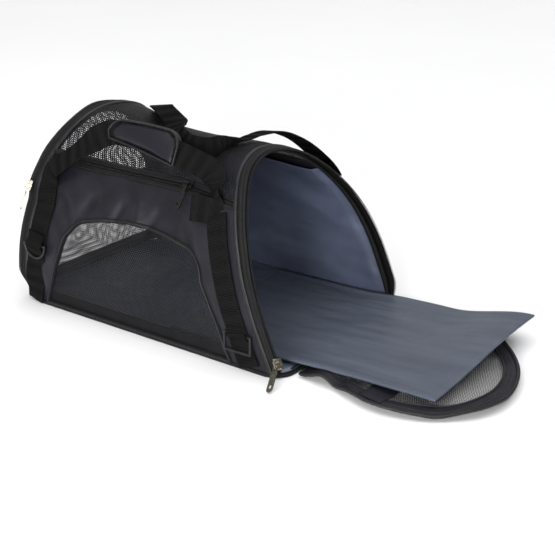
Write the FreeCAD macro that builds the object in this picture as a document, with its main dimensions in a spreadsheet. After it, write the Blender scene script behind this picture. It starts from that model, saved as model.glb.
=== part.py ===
import FreeCAD, Part
import math
import os
import Sketcher

# Soft-sided pet carrier bag with both arched ends on zips. Millimetres.
# Origin: on the ground, at the middle of the base's underside. +X points to the open
# front end, +Y to the far side (the near side carries the window), +Z up.
# The bag is one arch profile, straight at the foot and three-centred above, run along X
# and ended by two leaning arch planes. Cloth layers are strips of that profile, each
# with its own inset from the outer surface.

SIZES = [
    ("length", 460.0, "base length between the two arch planes"),
    ("half_width", 145.0, "half the width at the base"),
    ("straight_height", 60.0, "height of the upright foot of each side wall"),
    ("crown_radius", 110.0, "radius of the top of the arch"),
    ("top_height", 250.0, "height of the arch"),
    ("front_lean", 20.0, "how far the front arch leans back, degrees"),
    ("rear_lean", 8.4, "how far the rear arch leans in, degrees"),
    ("rim_width", 20.0, "zip and piping strip between an arch plane and the panels"),
    ("panel_thickness", 1.6, "padded polyester wall"),
    ("lining_thickness", 1.0, "coated inner lining"),
    ("net_thickness", 1.0, "netting"),
    ("webbing_width", 32.0, "strap and handle webbing"),
    ("webbing_thickness", 1.8, "strap and handle webbing"),
    ("base_thickness", 2.0, "base cloth"),
    ("board_thickness", 3.0, "stiffening board in the base"),
    ("front_corner_radius", 28.0, "base corners at the front"),
    ("rear_corner_radius", 45.0, "base corners at the rear"),
    ("sill_height", 7.0, "hem across the foot of each opening"),
    ("coil_width", 2.4, "zip coil"),
    ("tape_width", 11.6, "zip tape beside the coil"),
    ("hoop_wire", 2.4, "sprung wire that holds each arch open"),
    ("hoop_depth", 15.0, "hoop wire's distance behind its arch plane"),
    ("sleeve_width", 8.0, "hoop sleeve, along the bag"),
    ("sleeve_inset", 3.0, "hoop sleeve's distance inside the outer surface"),
    ("sleeve_thickness", 5.0, "hoop sleeve"),
    ("panel_foot", 2.0, "height where the side panels and the arches' trim start"),
    ("side_zip_foot", 192.0, "height of the near side's top zip"),
    ("side_tape_width", 5.5, "side zip's tape on each side of its coil"),
    ("side_coil_width", 3.0, "side zip's coil"),
    ("far_panel_head", 200.0, "height where the far side panel ends"),
    ("top_net_foot", 206.0, "height where the top netting starts"),
    ("strap_top", 182.0, "height where the straps end"),
    ("front_strap_depth", 30.0, "front strap's distance behind the front arch plane"),
    ("rear_strap_depth", 20.0, "rear strap's distance from the rear arch plane"),
    ("window_grow", 5.0, "width of the piping round the window"),
    ("hinge_inset", 2.0, "door hinge line's distance inside the arch plane's foot"),
    ("hinge_height", 0.5, "door hinge line's height"),
    ("door_thickness", 2.0, "door border"),
    ("door_inset", 3.0, "gap between the door's edge and the arch's outside"),
    ("door_border", 21.0, "width of the solid border round the door's netting"),
    ("door_foot", 8.0, "height where the closed door's border starts"),
    ("band_foot", 99.0, "height of the lower edge of the closed door's cross band"),
    ("mat_inner_end", 35.0, "mat's inner end, pulled out"),
    ("mat_length", 395.0, "mat"),
    ("mat_width", 245.0, "mat"),
    ("mat_thickness", 4.0, "mat, with its board inside"),
    ("mat_height", 8.0, "underside of the mat above the ground"),
    ("mat_board", 2.0, "board inside the mat"),
    ("mat_hem", 6.0, "mat cover's hem round the board"),
    ("handle_lean", 20.5, "near handle's lean towards the middle, degrees"),
    ("handle_foot_y", 113.5, "handle feet's distance from the middle plane"),
    ("handle_foot_z", 184.0, "height of the handle feet"),
    ("handle_reach", 66.0, "handle's rise in its own plane"),
    ("wrap_length", 110.0, "grip wrap"),
    ("wrap_height", 42.0, "grip wrap"),
    ("wrap_thickness", 14.0, "grip wrap"),
    ("far_knee_y", 46.0, "where the far handle bends to lie over the top"),
    ("far_knee_z", 257.5, "height of the far handle over the top"),
    ("far_grip_y", 58.0, "far handle's grip, past the middle plane"),
    ("ring_bar", 1.75, "bar radius of the plastic rings"),
    ("ring_width", 38.5, "rings, between bar centres"),
    ("ring_drop", 22.5, "rectangular ring, between bar centres"),
    ("front_ring_z", 47.0, "height of the front ring's top bar"),
    ("rear_ring_z", 88.0, "height of the rear ring's top bar"),
    ("slider_length", 14.0, "zip slider"),
    ("slider_width", 10.0, "zip slider"),
    ("pull_length", 36.0, "zip pull"),
    ("pull_width", 8.4, "zip pull"),
    ("front_pull_swing", 50.0, "front pull, turned outwards from hanging, degrees"),
    ("side_slider_x", 52.0, "where the side zip's slider is stored"),
    ("rear_slider_angle", 27.2, "rear slider's place on the side arc, degrees above the foot"),
    ("rear_slider_gap", 0.8, "rear slider's foot, out from the arch's corner both ways"),
    ("rear_slider_roll", 22.0, "rear slider's roll to follow the side arc, degrees"),
]


class Size:
    """A length or an angle with the spreadsheet expression that it comes from."""

    def __init__(self, number, text=None):
        self.number = float(number)
        self.text = text or f"({float(number)!r})"

    def __add__(self, other):
        other = sized(other)
        return Size(self.number + other.number, f"({self.text} + {other.text})")

    def __sub__(self, other):
        other = sized(other)
        return Size(self.number - other.number, f"({self.text} - {other.text})")

    def __mul__(self, other):
        other = sized(other)
        return Size(self.number * other.number, f"({self.text} * {other.text})")

    def __truediv__(self, other):
        other = sized(other)
        return Size(self.number / other.number, f"({self.text} / {other.text})")

    def __neg__(self):
        return Size(-self.number, f"(0 - {self.text})")


def sized(value):
    return value if isinstance(value, Size) else Size(value)


def sine(angle):
    return Size(math.sin(math.radians(angle.number)), f"sin({angle.text} * 1 deg)")


def cosine(angle):
    return Size(math.cos(math.radians(angle.number)), f"cos({angle.text} * 1 deg)")


doc = FreeCAD.newDocument("PetCarrier")
sheet = doc.addObject("Spreadsheet::Sheet", "Sizes")
for row, (alias, number, meaning) in enumerate(SIZES, start=1):
    sheet.set(f"A{row}", meaning)
    sheet.set(f"B{row}", str(number))
    sheet.setAlias(f"B{row}", alias)
doc.recompute()
S = {alias: Size(number, f"Sizes.{alias}") for alias, number, _ in SIZES}

nodes = []


def node(shape_object, name):
    """Marks an object of the document as the finished sub-part called name."""
    shape_object.Label = name
    nodes.append(shape_object)
    return shape_object


def bind(obj, prop, size):
    obj.setExpression(prop, sized(size).text)


def place(obj, base=(0, 0, 0), axis=(0, 0, 1), angle=0):
    """Turns obj by angle about axis, then moves it to base, all bound to the sheet."""
    base = [sized(value) for value in base]
    angle = sized(angle)
    turn = FreeCAD.Rotation(FreeCAD.Vector(*axis), angle.number)
    obj.Placement = FreeCAD.Placement(FreeCAD.Vector(*[b.number for b in base]), turn)
    for letter, value in zip("xyz", base):
        bind(obj, f"Placement.Base.{letter}", value)
    if angle.number:
        bind(obj, "Placement.Rotation.Angle", angle)
    return obj


def block(low, extent, axis=(0, 0, 1), angle=0):
    """A box from its low corner, turned about that corner."""
    box = doc.addObject("Part::Box", "Block")
    for prop, size in zip(("Length", "Width", "Height"), extent):
        bind(box, prop, size)
    return place(box, low, axis, angle)


def rod(start, radius, length, axis=(0, 0, 1), angle=0):
    cylinder = doc.addObject("Part::Cylinder", "Rod")
    bind(cylinder, "Radius", radius)
    bind(cylinder, "Height", length)
    return place(cylinder, start, axis, angle)


def ball(centre, radius):
    sphere = doc.addObject("Part::Sphere", "Ball")
    bind(sphere, "Radius", radius)
    return place(sphere, centre)


def common(first, second):
    both = doc.addObject("Part::Common", "Common")
    both.Base, both.Tool = first, second
    return both


def cut(first, second):
    less = doc.addObject("Part::Cut", "Cut")
    less.Base, less.Tool = first, second
    return less


def fuse(*shapes):
    union = doc.addObject("Part::MultiFuse", "Fuse")
    union.Shapes = list(shapes)
    return union


# ---------------------------------------------------------------- sketches


def new_sketch(body, plane):
    sketch = body.newObject("Sketcher::SketchObject", "Sketch")
    support = [f for f in body.Origin.OriginFeatures if f.Role == plane][0]
    sketch.AttachmentSupport = [(support, "")]
    sketch.MapMode = "FlatFace"
    return sketch


def pin(sketch, geometry, point, across, up):
    """Fixes one point of a sketch at two bound distances from its origin."""
    for kind, size in (("DistanceX", across), ("DistanceY", up)):
        size = sized(size)
        index = sketch.addConstraint(
            Sketcher.Constraint(kind, -1, 1, geometry, point, size.number)
        )
        sketch.setExpression(f"Constraints[{index}]", size.text)


def outline(sketch, corners):
    """A closed outline through corners. A corner (x, y) ends a straight edge, and a
    corner (x, y, via_x, via_y) ends an arc that passes through its via point."""
    corners = [[sized(value) for value in corner] for corner in corners]
    vectors = [FreeCAD.Vector(c[0].number, c[1].number, 0) for c in corners]
    edges = []
    for index, corner in enumerate(corners):
        begin, end = vectors[index - 1], vectors[index]
        if len(corner) == 4:
            via = FreeCAD.Vector(corner[2].number, corner[3].number, 0)
            arc = Part.Arc(begin, via, end)
            edge = sketch.addGeometry(arc)
            turned = (via - begin).cross(end - via).z < 0
            edges.append((edge, 2, 1) if turned else (edge, 1, 2))
        else:
            edges.append((sketch.addGeometry(Part.LineSegment(begin, end)), 1, 2))
    for index, corner in enumerate(corners):
        edge, _, end = edges[index]
        following, start, _ = edges[(index + 1) % len(corners)]
        sketch.addConstraint(
            Sketcher.Constraint("Coincident", edge, end, following, start)
        )
        pin(sketch, edge, end, corner[0], corner[1])
    for index, corner in enumerate(corners):
        if len(corner) == 4:
            via = FreeCAD.Vector(corner[2].number, corner[3].number, 0)
            dot = sketch.addGeometry(Part.Point(via), True)
            sketch.addConstraint(
                Sketcher.Constraint("PointOnObject", dot, 1, edges[index][0])
            )
            pin(sketch, dot, 1, corner[2], corner[3])


def plate(plane, outlines, thickness, both_ways=False):
    """A body padded from closed outlines; the second and later ones are holes."""
    body = doc.addObject("PartDesign::Body", "Plate")
    sketch = new_sketch(body, plane)
    for corners in outlines:
        outline(sketch, corners)
    pad = body.newObject("PartDesign::Pad", "Pad")
    pad.Profile = sketch
    bind(pad, "Length", thickness)
    if both_ways:
        pad.SideType = "Symmetric"
    return body


def rounded(low_x, low_y, high_x, high_y, low_radius, high_radius=None):
    """Corners of a rectangle whose corners are rounded, at each end by its own radius."""
    low_x, low_y, high_x, high_y = (sized(v) for v in (low_x, low_y, high_x, high_y))
    a, b = sized(low_radius), sized(high_radius or low_radius)
    part = 1 - math.sqrt(0.5)
    return [
        (high_x - b, low_y),
        (high_x, low_y + b, high_x - b * part, low_y + b * part),
        (high_x, high_y - b),
        (high_x - b, high_y, high_x - b * part, high_y - b * part),
        (low_x + a, high_y),
        (low_x, high_y - a, low_x + a * part, high_y - a * part),
        (low_x, low_y + a),
        (low_x + a, low_y, low_x + a * part, low_y + a * part),
    ]


# ---------------------------------------------------------------- the arch

# The side arcs meet the upright foot and the crown without a corner, which fixes how
# far past the middle plane their centres lie.
CROWN_CENTRE = S["top_height"] - S["crown_radius"]
RISE = CROWN_CENTRE - S["straight_height"]
SPREAD = S["half_width"] - S["crown_radius"]
SIDE_CENTRE = (RISE * RISE - SPREAD * SPREAD) / (SPREAD * 2)
SIDE_RADIUS = S["half_width"] + SIDE_CENTRE


def arch_curve(inset, foot):
    """Corners of the arch from its near foot over the top to its far foot."""
    inset, foot = sized(inset), sized(foot)
    side, crown = SIDE_RADIUS - inset, S["crown_radius"] - inset
    meet = math.degrees(math.atan2(RISE.number, SIDE_CENTRE.number))
    tangent = Size(meet, f"(atan2({RISE.text}; {SIDE_CENTRE.text}) / 1 deg)")
    half = tangent / 2

    def on_side(sign, angle):
        across = cosine(angle) * side - SIDE_CENTRE
        return (across * sign, S["straight_height"] + sine(angle) * side)

    wide = S["half_width"] - inset
    near_meet, near_via = on_side(-1, tangent), on_side(-1, half)
    far_meet, far_via = on_side(1, tangent), on_side(1, half)
    return [
        (-wide, foot),
        (-wide, S["straight_height"]),
        (*near_meet, *near_via),
        (*far_meet, Size(0), CROWN_CENTRE + crown),
        (wide, S["straight_height"], *far_via),
        (wide, foot),
    ]


def reverse_curve(corners):
    """The same outline corners walked the other way."""
    turned = [corners[-1][:2]]
    for index in range(len(corners) - 1, 0, -1):
        turned.append((*corners[index - 1][:2], *corners[index][2:]))
    return turned


def along_bag(corners):
    """The bag's length, and a little more, of one cross-section."""
    return plate("YZ_Plane", [corners], S["length"] + 60, both_ways=True)


def shell(outer, inner, foot=None):
    """A strip of wall between two insets from the outer surface."""
    foot = foot or S["panel_foot"]
    return along_bag(arch_curve(outer, foot) + reverse_curve(arch_curve(inner, foot)))


def solid_arch(inset, foot):
    return along_bag(arch_curve(inset, foot))


def slab(end, shallow, deep):
    """The space between two depths behind the front or the rear arch plane."""
    shallow, deep = sized(shallow), sized(deep)
    low, tall, side = Size(-40), Size(400), Size(170)
    if end == "front":
        lean, foot, inner = -S["front_lean"], S["length"] / 2, -deep
    else:
        lean, foot, inner = S["rear_lean"], -S["length"] / 2, shallow
    corner = (
        foot + cosine(lean) * inner + sine(lean) * low,
        -side,
        cosine(lean) * low - sine(lean) * inner,
    )
    return block(corner, (deep - shallow, side * 2, tall), (0, 1, 0), lean)


def between(rear_depth, front_depth, low, high, side):
    """The space between both arch planes, at these depths and heights, on one side of
    the middle plane or, with side 0, on both."""
    rear_depth, front_depth, low, high = map(sized, (rear_depth, front_depth, low, high))

    def front_x(height):
        slope = sine(S["front_lean"]) / cosine(S["front_lean"])
        return S["length"] / 2 - front_depth / cosine(S["front_lean"]) - slope * height

    def rear_x(height):
        slope = sine(S["rear_lean"]) / cosine(S["rear_lean"])
        return rear_depth / cosine(S["rear_lean"]) - S["length"] / 2 + slope * height

    corners = [
        (front_x(low), low),
        (front_x(high), high),
        (rear_x(high), high),
        (rear_x(low), low),
    ]
    prism = plate("XZ_Plane", [corners], Size(160 if side else 340), both_ways=not side)
    # A pad on the XZ plane grows towards -Y.
    return place(prism, (0, 160 if side > 0 else 0, 0))


# ---------------------------------------------------------------- base

HALF = S["length"] / 2
BASE_TOP = S["base_thickness"] + S["board_thickness"] + S["lining_thickness"]


def make_base():
    cloth = rounded(
        -HALF + 5, -S["half_width"], HALF - 4, S["half_width"],
        S["rear_corner_radius"], S["front_corner_radius"],
    )
    node(plate("XY_Plane", [cloth], S["base_thickness"]), "base_panel")
    board = rounded(
        -HALF + 15, 7 - S["half_width"].number, HALF - 22, S["half_width"] - 7, 38, 22
    )
    body = plate("XY_Plane", [board], S["board_thickness"])
    node(place(body, (0, 0, S["base_thickness"])), "base_board")
    liner = rounded(
        -HALF + 9, 2.8 - S["half_width"].number, HALF - 9.5, S["half_width"] - 2.8, 40, 24
    )
    body = plate("XY_Plane", [liner], S["lining_thickness"])
    node(place(body, (0, 0, BASE_TOP - S["lining_thickness"])), "base_lining")
    sill = (S["sill_height"] - S["base_thickness"], S["half_width"] * 2 - 18)
    for name, corner in (("front_sill", HALF - 9.5), ("rear_sill", -HALF + 5)):
        low = (corner, 9 - S["half_width"].number, S["base_thickness"])
        node(block(low, (4, sill[1], sill[0])), name)


# ---------------------------------------------------------------- walls


def window_corners(grow):
    """The near side's window: a low arch that stands on the base seam."""
    grow = sized(grow)
    return [
        (grow + 147, 8 - grow.number),
        (grow + 101, grow * 0.4 + 98),
        (grow * 0.5 + 66, grow + 132, grow * 0.8 + 89, grow * 0.8 + 121),
        (-(grow * 0.5) - 95, grow + 131, Size(-12), grow + 142),
        (-grow - 133, grow * 0.4 + 100, -(grow * 0.8) - 119, grow * 0.8 + 121),
        (-grow - 166, 8 - grow.number),
    ]


def window_prism(grow):
    prism = plate("XZ_Plane", [window_corners(grow)], 60)
    return place(prism, (0, -110, 0))


def make_walls():
    rim, wall = S["rim_width"], S["panel_thickness"]
    lining = wall + S["lining_thickness"]
    panel, liner = shell(0, wall), shell(wall, lining)
    hole = window_prism(S["window_grow"])
    near = between(rim, rim, S["panel_foot"], S["side_zip_foot"], -1)
    far = between(rim, rim, S["panel_foot"], S["far_panel_head"], 1)
    node(cut(common(panel, near), hole), "near_side_panel")
    node(cut(common(liner, near), hole), "near_side_lining")
    node(common(panel, far), "far_side_panel")
    node(common(liner, far), "far_side_lining")
    net = shell(0.3, S["net_thickness"] + 0.3)
    node(common(net, window_prism(0)), "near_window_net")
    frame = cut(window_prism(S["window_grow"]), window_prism(0))
    node(common(shell(-1.4, wall), frame), "near_window_piping")
    top = between(rim, rim, S["top_net_foot"], 270, 0)
    node(common(net, top), "top_net")
    seam = between(rim, rim, S["far_panel_head"], S["top_net_foot"], 1)
    node(common(shell(-0.6, wall), seam), "far_top_seam")
    low = S["side_zip_foot"]
    coil_foot = low + S["side_tape_width"]
    coil_head = coil_foot + S["side_coil_width"]
    strips = [
        ("side_zip_lower_tape", 0.2, 1.4, low, coil_foot),
        ("side_zip_coil", -0.8, 1.4, coil_foot, coil_head),
        ("side_zip_upper_tape", 0.2, 1.4, coil_head, S["top_net_foot"]),
    ]
    for name, outer, inner, foot, head in strips:
        node(common(shell(outer, inner), between(rim, rim, foot, head, -1)), name)


def make_rim(end):
    """Zip half, piping and sprung hoop that finish one end of the bag."""
    coil, tape = S["coil_width"], S["coil_width"] + S["tape_width"]
    node(common(shell(0, 2.2), slab(end, 0, coil)), f"{end}_zip_body_coil")
    node(common(shell(0.2, 1.4), slab(end, coil, tape)), f"{end}_zip_body_tape")
    node(common(shell(-1.4, 3), slab(end, tape, S["rim_width"])), f"{end}_arch_piping")
    foot, middle, half = S["sill_height"], S["hoop_depth"], S["hoop_wire"] / 2
    outer, thick, wide = S["sleeve_inset"], S["sleeve_thickness"], S["sleeve_width"] / 2
    wire_inset = outer + (thick - S["hoop_wire"]) / 2
    wire = common(
        shell(wire_inset, wire_inset + S["hoop_wire"], foot),
        slab(end, middle - half, middle + half),
    )
    sleeve = common(shell(outer, outer + thick, foot), slab(end, middle - wide, middle + wide))
    node(cut(sleeve, wire), f"{end}_hoop_sleeve")
    node(common(wire, slab(end, middle - wide, middle + wide)), f"{end}_hoop_wire")


# ---------------------------------------------------------------- doors

DOOR_DEPTH = S["hinge_inset"] * cosine(S["front_lean"]) - S["hinge_height"] * sine(
    S["front_lean"]
)
OPEN_ANGLE = S["front_lean"] + 90


def make_door(end):
    """A netting door with solid border. Each is cut out closed, in its arch plane. The
    front one is then laid down about its hinge line."""
    depth = DOOR_DEPTH if end == "front" else S["hinge_inset"]
    back = depth + S["door_thickness"]
    edge, foot = S["door_inset"], S["door_foot"]
    border = S["door_border"] + edge
    whole = slab(end, depth, back)
    hole = solid_arch(border, foot + S["door_border"])
    pieces = {
        "border": cut(common(solid_arch(edge + 2, foot), whole), hole),
        "zip_tape": common(shell(edge, edge + 2, 12), whole),
        "net": common(hole, slab(end, depth + 0.5, depth + 0.5 + S["net_thickness"])),
        "cross_band": common(
            common(solid_arch(edge + 4, foot), slab(end, back, back + 1.5)),
            between(-20, -20, S["band_foot"], S["band_foot"] + 30, 0),
        ),
        "hinge_tape": common(
            solid_arch(S["half_width"] - 118, S["hinge_height"] + 1),
            common(slab(end, depth, depth + 1), between(-20, -20, 1.5, foot, 0)),
        ),
    }
    for name, piece in pieces.items():
        if end == "front":
            turn_x, turn_z = HALF - S["hinge_inset"], S["hinge_height"]
            level, upright = cosine(OPEN_ANGLE), sine(OPEN_ANGLE)
            base = (
                turn_x - turn_x * level - turn_z * upright,
                0,
                turn_z + turn_x * upright - turn_z * level,
            )
            piece = place(common(piece, whole_space()), base, (0, 1, 0), OPEN_ANGLE)
        node(piece, f"{end}_door_{name}")


def whole_space():
    """A box round everything, so that a shape can be placed as a result of its own."""
    return block((-400, -400, -100), (800, 800, 600))


# ---------------------------------------------------------------- mat


def make_mat():
    x, width = S["mat_inner_end"], S["mat_width"] / 2
    low = rounded(x, -width, x + S["mat_length"], width, 9)
    hem = S["mat_hem"]
    board = rounded(x + hem, hem - width, x + S["mat_length"] - hem, width - hem, 6)
    cover = place(plate("XY_Plane", [low], S["mat_thickness"]), (0, 0, S["mat_height"]))
    middle = S["mat_height"] + (S["mat_thickness"] - S["mat_board"]) / 2
    inside = place(plate("XY_Plane", [board], S["mat_board"]), (0, 0, middle))
    node(cut(cover, inside), "mat_cover")
    copy = place(plate("XY_Plane", [board], S["mat_board"]), (0, 0, middle))
    node(copy, "mat_board")


# ---------------------------------------------------------------- straps and rings


def make_straps():
    webbing = shell(-S["webbing_thickness"], 0)
    for side, name in ((-1, "near"), (1, "far")):
        tall = between(-20, -20, 3, S["strap_top"], side)
        for end in ("front", "rear"):
            depth = S[f"{end}_strap_depth"]
            strip = slab(end, depth, depth + S["webbing_width"])
            node(common(common(webbing, strip), tall), f"{name}_{end}_strap")


def strap_middle(end, height):
    """X of a strap's middle line at one height."""
    lean = S[f"{end}_lean"]
    depth = S[f"{end}_strap_depth"] + S["webbing_width"] / 2
    inward = depth / cosine(lean) + sine(lean) / cosine(lean) * height
    return HALF - inward if end == "front" else inward - HALF


RING_Y = -S["half_width"] - S["webbing_thickness"] - S["ring_bar"] - 1.0


def make_front_ring():
    """Rectangular ring: four round bars with ball corners."""
    bar, half = S["ring_bar"], S["ring_width"] / 2
    x, top = strap_middle("front", S["front_ring_z"]), S["front_ring_z"]
    foot = top - S["ring_drop"]
    bars = [
        rod((x - half, RING_Y, top), bar, half * 2, (0, 1, 0), 90),
        rod((x - half, RING_Y, foot), bar, half * 2, (0, 1, 0), 90),
        rod((x - half, RING_Y, foot), bar, S["ring_drop"]),
        rod((x + half, RING_Y, foot), bar, S["ring_drop"]),
    ]
    corners = [ball((x + half * s, RING_Y, z), bar) for s in (-1, 1) for z in (foot, top)]
    node(fuse(*bars, *corners), "front_ring")
    return x


def make_rear_ring():
    """D-shaped ring: a straight bar with a half circle under it."""
    bar, half = S["ring_bar"], S["ring_width"] / 2
    x, top = strap_middle("rear", S["rear_ring_z"]), S["rear_ring_z"]
    bow = doc.addObject("Part::Torus", "Bow")
    bind(bow, "Radius1", half)
    bind(bow, "Radius2", bar)
    bow.Angle3 = 180
    place(bow, (x, RING_Y, top), (1, 0, 0), -90)
    straight = rod((x - half, RING_Y, top), bar, half * 2, (0, 1, 0), 90)
    ends = [ball((x + half * sign, RING_Y, top), bar) for sign in (-1, 1)]
    node(fuse(straight, bow, *ends), "rear_ring")
    return x


def make_ring_loop(name, x, top):
    """Webbing loop that holds a ring's top bar against the strap."""
    room = S["ring_bar"] + 0.4
    outside = room + 1.4
    width = S["webbing_width"] - 3
    whole = block(
        (x - width / 2, RING_Y - outside, top - outside),
        (width, outside * 2 + 6, outside * 2),
    )
    tunnel = rod((x - width, RING_Y, top), room, width * 2, (0, 1, 0), 90)
    behind = solid_arch(-S["webbing_thickness"], 0)
    node(cut(cut(whole, tunnel), behind), name)


# ---------------------------------------------------------------- handles


def band_corners(low, reach):
    """A handle band seen square on: two slanting legs and a level grip, from the line
    of its feet at height low to its grip's middle at reach."""
    half = S["webbing_width"] / 2
    left, right = strap_middle("rear", S["strap_top"]), strap_middle("front", S["strap_top"])
    grip = S["wrap_length"] / 2
    middle = (left + right) / 2
    return [
        (left - half, low),
        (left + half, low),
        (middle - grip + half * 0.6, reach - half),
        (middle + grip - half * 0.6, reach - half),
        (right - half, low),
        (right + half, low),
        (middle + grip + half * 0.6, reach + half),
        (middle - grip - half * 0.6, reach + half),
    ]


HANDLE_MIDDLE = (
    strap_middle("rear", S["strap_top"]) + strap_middle("front", S["strap_top"])
) / 2


def make_near_handle():
    feet = (0, -S["handle_foot_y"], S["handle_foot_z"])
    lean = -S["handle_lean"]
    corners = band_corners(1, S["handle_reach"])

    def leaning(shape):
        return place(shape, feet, (1, 0, 0), lean)

    band = leaning(plate("XZ_Plane", [corners], S["webbing_thickness"], both_ways=True))
    node(common(band, whole_space()), "near_handle")
    half_x, half_z = S["wrap_length"] / 2, S["wrap_height"] / 2
    face = rounded(
        HANDLE_MIDDLE - half_x, S["handle_reach"] - half_z,
        HANDLE_MIDDLE + half_x, S["handle_reach"] + half_z, 9,
    )
    wrap = leaning(plate("XZ_Plane", [face], S["wrap_thickness"], both_ways=True))
    node(cut(wrap, band), "handle_wrap")


def make_far_handle():
    """The far handle leans over the top: slanting legs, then a level part with the grip."""
    thick, half = S["webbing_thickness"], S["webbing_width"] / 2
    run, rise = S["handle_foot_y"] - S["far_knee_y"], S["far_knee_z"] - S["handle_foot_z"]
    length = math.hypot(run.number, rise.number)
    span = Size(length, f"sqrt({run.text} * {run.text} + {rise.text} * {rise.text})")
    lean = Size(
        math.degrees(math.atan2(run.number, rise.number)),
        f"(atan2({run.text}; {rise.text}) / 1 deg)",
    )
    left, right = strap_middle("rear", S["strap_top"]), strap_middle("front", S["strap_top"])
    grip = S["wrap_length"] / 2
    legs = []
    for foot, knee in ((left, HANDLE_MIDDLE - grip), (right, HANDLE_MIDDLE + grip)):
        corners = [(foot - half, 1), (foot + half, 1), (knee + half, span), (knee - half, span)]
        leg = plate("XZ_Plane", [corners], thick, both_ways=True)
        feet = (0, S["handle_foot_y"], S["handle_foot_z"])
        legs.append(place(leg, feet, (1, 0, 0), lean))
    outer_x, near_y = HANDLE_MIDDLE + grip + half, -S["far_grip_y"] - half
    inner_x = HANDLE_MIDDLE + grip - half
    low_x, low_in = HANDLE_MIDDLE - grip - half, HANDLE_MIDDLE - grip + half
    knee, inner_y = S["far_knee_y"], half - S["far_grip_y"]
    level = [
        (low_x, near_y), (outer_x, near_y), (outer_x, knee), (inner_x, knee),
        (inner_x, inner_y), (low_in, inner_y), (low_in, knee), (low_x, knee),
    ]
    top = place(
        plate("XY_Plane", [level], thick, both_ways=True), (0, 0, S["far_knee_z"])
    )
    bends = [
        rod((x, knee, S["far_knee_z"]), thick / 2, half * 2, (0, 1, 0), 90)
        for x in (low_x, inner_x)
    ]
    node(fuse(*legs, top, *bends), "far_handle")


# ---------------------------------------------------------------- zip sliders and pulls

# A slider's own frame: it faces -Y with its underside at y = 0. The pull's bar lies
# along X, under the slider's bridge, and the pull hangs from it towards -Z.
BAR_Y = -4.7


def make_slider(along="z"):
    """A plate on the coil with a bridge over the pull's bar, travelling along Z or X."""

    def brick(low_run, run, low_y, thick, wide):
        if along == "z":
            return block((-wide / 2, low_y, low_run), (wide, thick, run))
        return block((low_run, low_y, -wide / 2), (run, thick, wide))

    long, wide = S["slider_length"], S["slider_width"]
    foot = brick(-long / 2, long, -3, 3, wide)
    posts = [brick(start, 1.6, -8, 5.5, sized(2.4)) for start in (-5.4, 3.8)]
    return fuse(foot, *posts, brick(-5.4, 10.8, -9.2, 1.4, sized(2.4)))


def make_pull(neck, slotted):
    """A flat tab with an eye at its end. A slotted neck straddles a bridge that runs
    along the tab, and a plain neck passes under a bridge that runs across it."""
    half, long = S["pull_width"] / 2, S["pull_length"]
    tab = [
        (neck, 0.5), (neck, -9), (half, -14), (half, half - long),
        (-half, half - long, Size(0), -long), (-half, -14), (-neck, -9), (-neck, 0.5),
    ]
    eye_foot, eye_head = 5 - long.number, 9.5 - long.number
    holes = [[(1.9, eye_head), (1.9, eye_foot), (-1.9, eye_foot), (-1.9, eye_head)]]
    if slotted:
        holes.append([(2.0, -0.9), (2.0, -8.0), (-2.0, -8.0), (-2.0, -0.9)])
    body = place(plate("XZ_Plane", [tab, *holes], 1.4, both_ways=True), (0, BAR_Y, 0))
    bar = rod((-neck, BAR_Y, 0), 0.9, neck * 2, (0, 1, 0), 90)
    return fuse(body, bar)


def swing(pull, angle):
    """Turns a pull about its own bar."""
    return place(
        common(pull, whole_space()),
        (0, cosine(angle) * -BAR_Y + BAR_Y, sine(angle) * -BAR_Y),
        (1, 0, 0),
        angle,
    )


def set_down(shape, name, base, axis, angle):
    node(place(common(shape, whole_space()), base, axis, angle), name)


def make_zips():
    # Front: the slider waits near the foot of the near side, outside the coil. Its
    # pull lies outwards and down, with its end just above the ground.
    base = (HALF - 8, -S["half_width"] - 0.5, 24)
    turn = ((0, 1, 0), -S["front_lean"])
    set_down(make_slider(), "front_zip_slider", base, *turn)
    set_down(swing(make_pull(3.4, True), -S["front_pull_swing"]), "front_zip_pull", base, *turn)
    # Side: the slider sits on the curved wall over the coil, and its pull hangs across.
    rise = S["side_zip_foot"] + 7 - S["straight_height"]
    slope = Size(
        math.degrees(math.asin(rise.number / SIDE_RADIUS.number)),
        f"(asin({rise.text} / {SIDE_RADIUS.text}) / 1 deg)",
    )
    out = SIDE_RADIUS + 1.2
    base = (
        S["side_slider_x"],
        SIDE_CENTRE - cosine(slope) * out,
        S["straight_height"] + sine(slope) * out,
    )
    set_down(make_slider("x"), "side_zip_slider", base, (1, 0, 0), -slope)
    set_down(make_pull(1.9, False), "side_zip_pull", base, (1, 0, 0), -slope)
    # Rear: the slider sits outside the near corner of the rear arch, turned to face both
    # out and back, and rolled to follow the side arc. Its pull hangs down the corner.
    angle, tilt = S["rear_slider_angle"], S["rear_lean"]
    height = S["straight_height"] + sine(angle) * SIDE_RADIUS
    base = (
        sine(tilt) / cosine(tilt) * height - HALF - S["rear_slider_gap"],
        SIDE_CENTRE - cosine(angle) * SIDE_RADIUS - S["rear_slider_gap"],
        height,
    )
    for shape, name in (
        (make_slider(), "rear_zip_slider"),
        (make_pull(3.4, True), "rear_zip_pull"),
    ):
        facing = place(common(shape, whole_space()), (0, 0, 0), (0, 0, 1), -45)
        rolled = place(
            common(facing, whole_space()), (0, 0, 0), (1, 0, 0), -S["rear_slider_roll"]
        )
        set_down(rolled, name, base, (0, 1, 0), tilt)


# ---------------------------------------------------------------- build and export

make_base()
make_walls()
for bag_end in ("front", "rear"):
    make_rim(bag_end)
    make_door(bag_end)
make_mat()
make_straps()
make_ring_loop("front_ring_loop", make_front_ring(), S["front_ring_z"])
make_ring_loop("rear_ring_loop", make_rear_ring(), S["rear_ring_z"])
make_near_handle()
make_far_handle()
make_zips()
doc.recompute()

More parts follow.
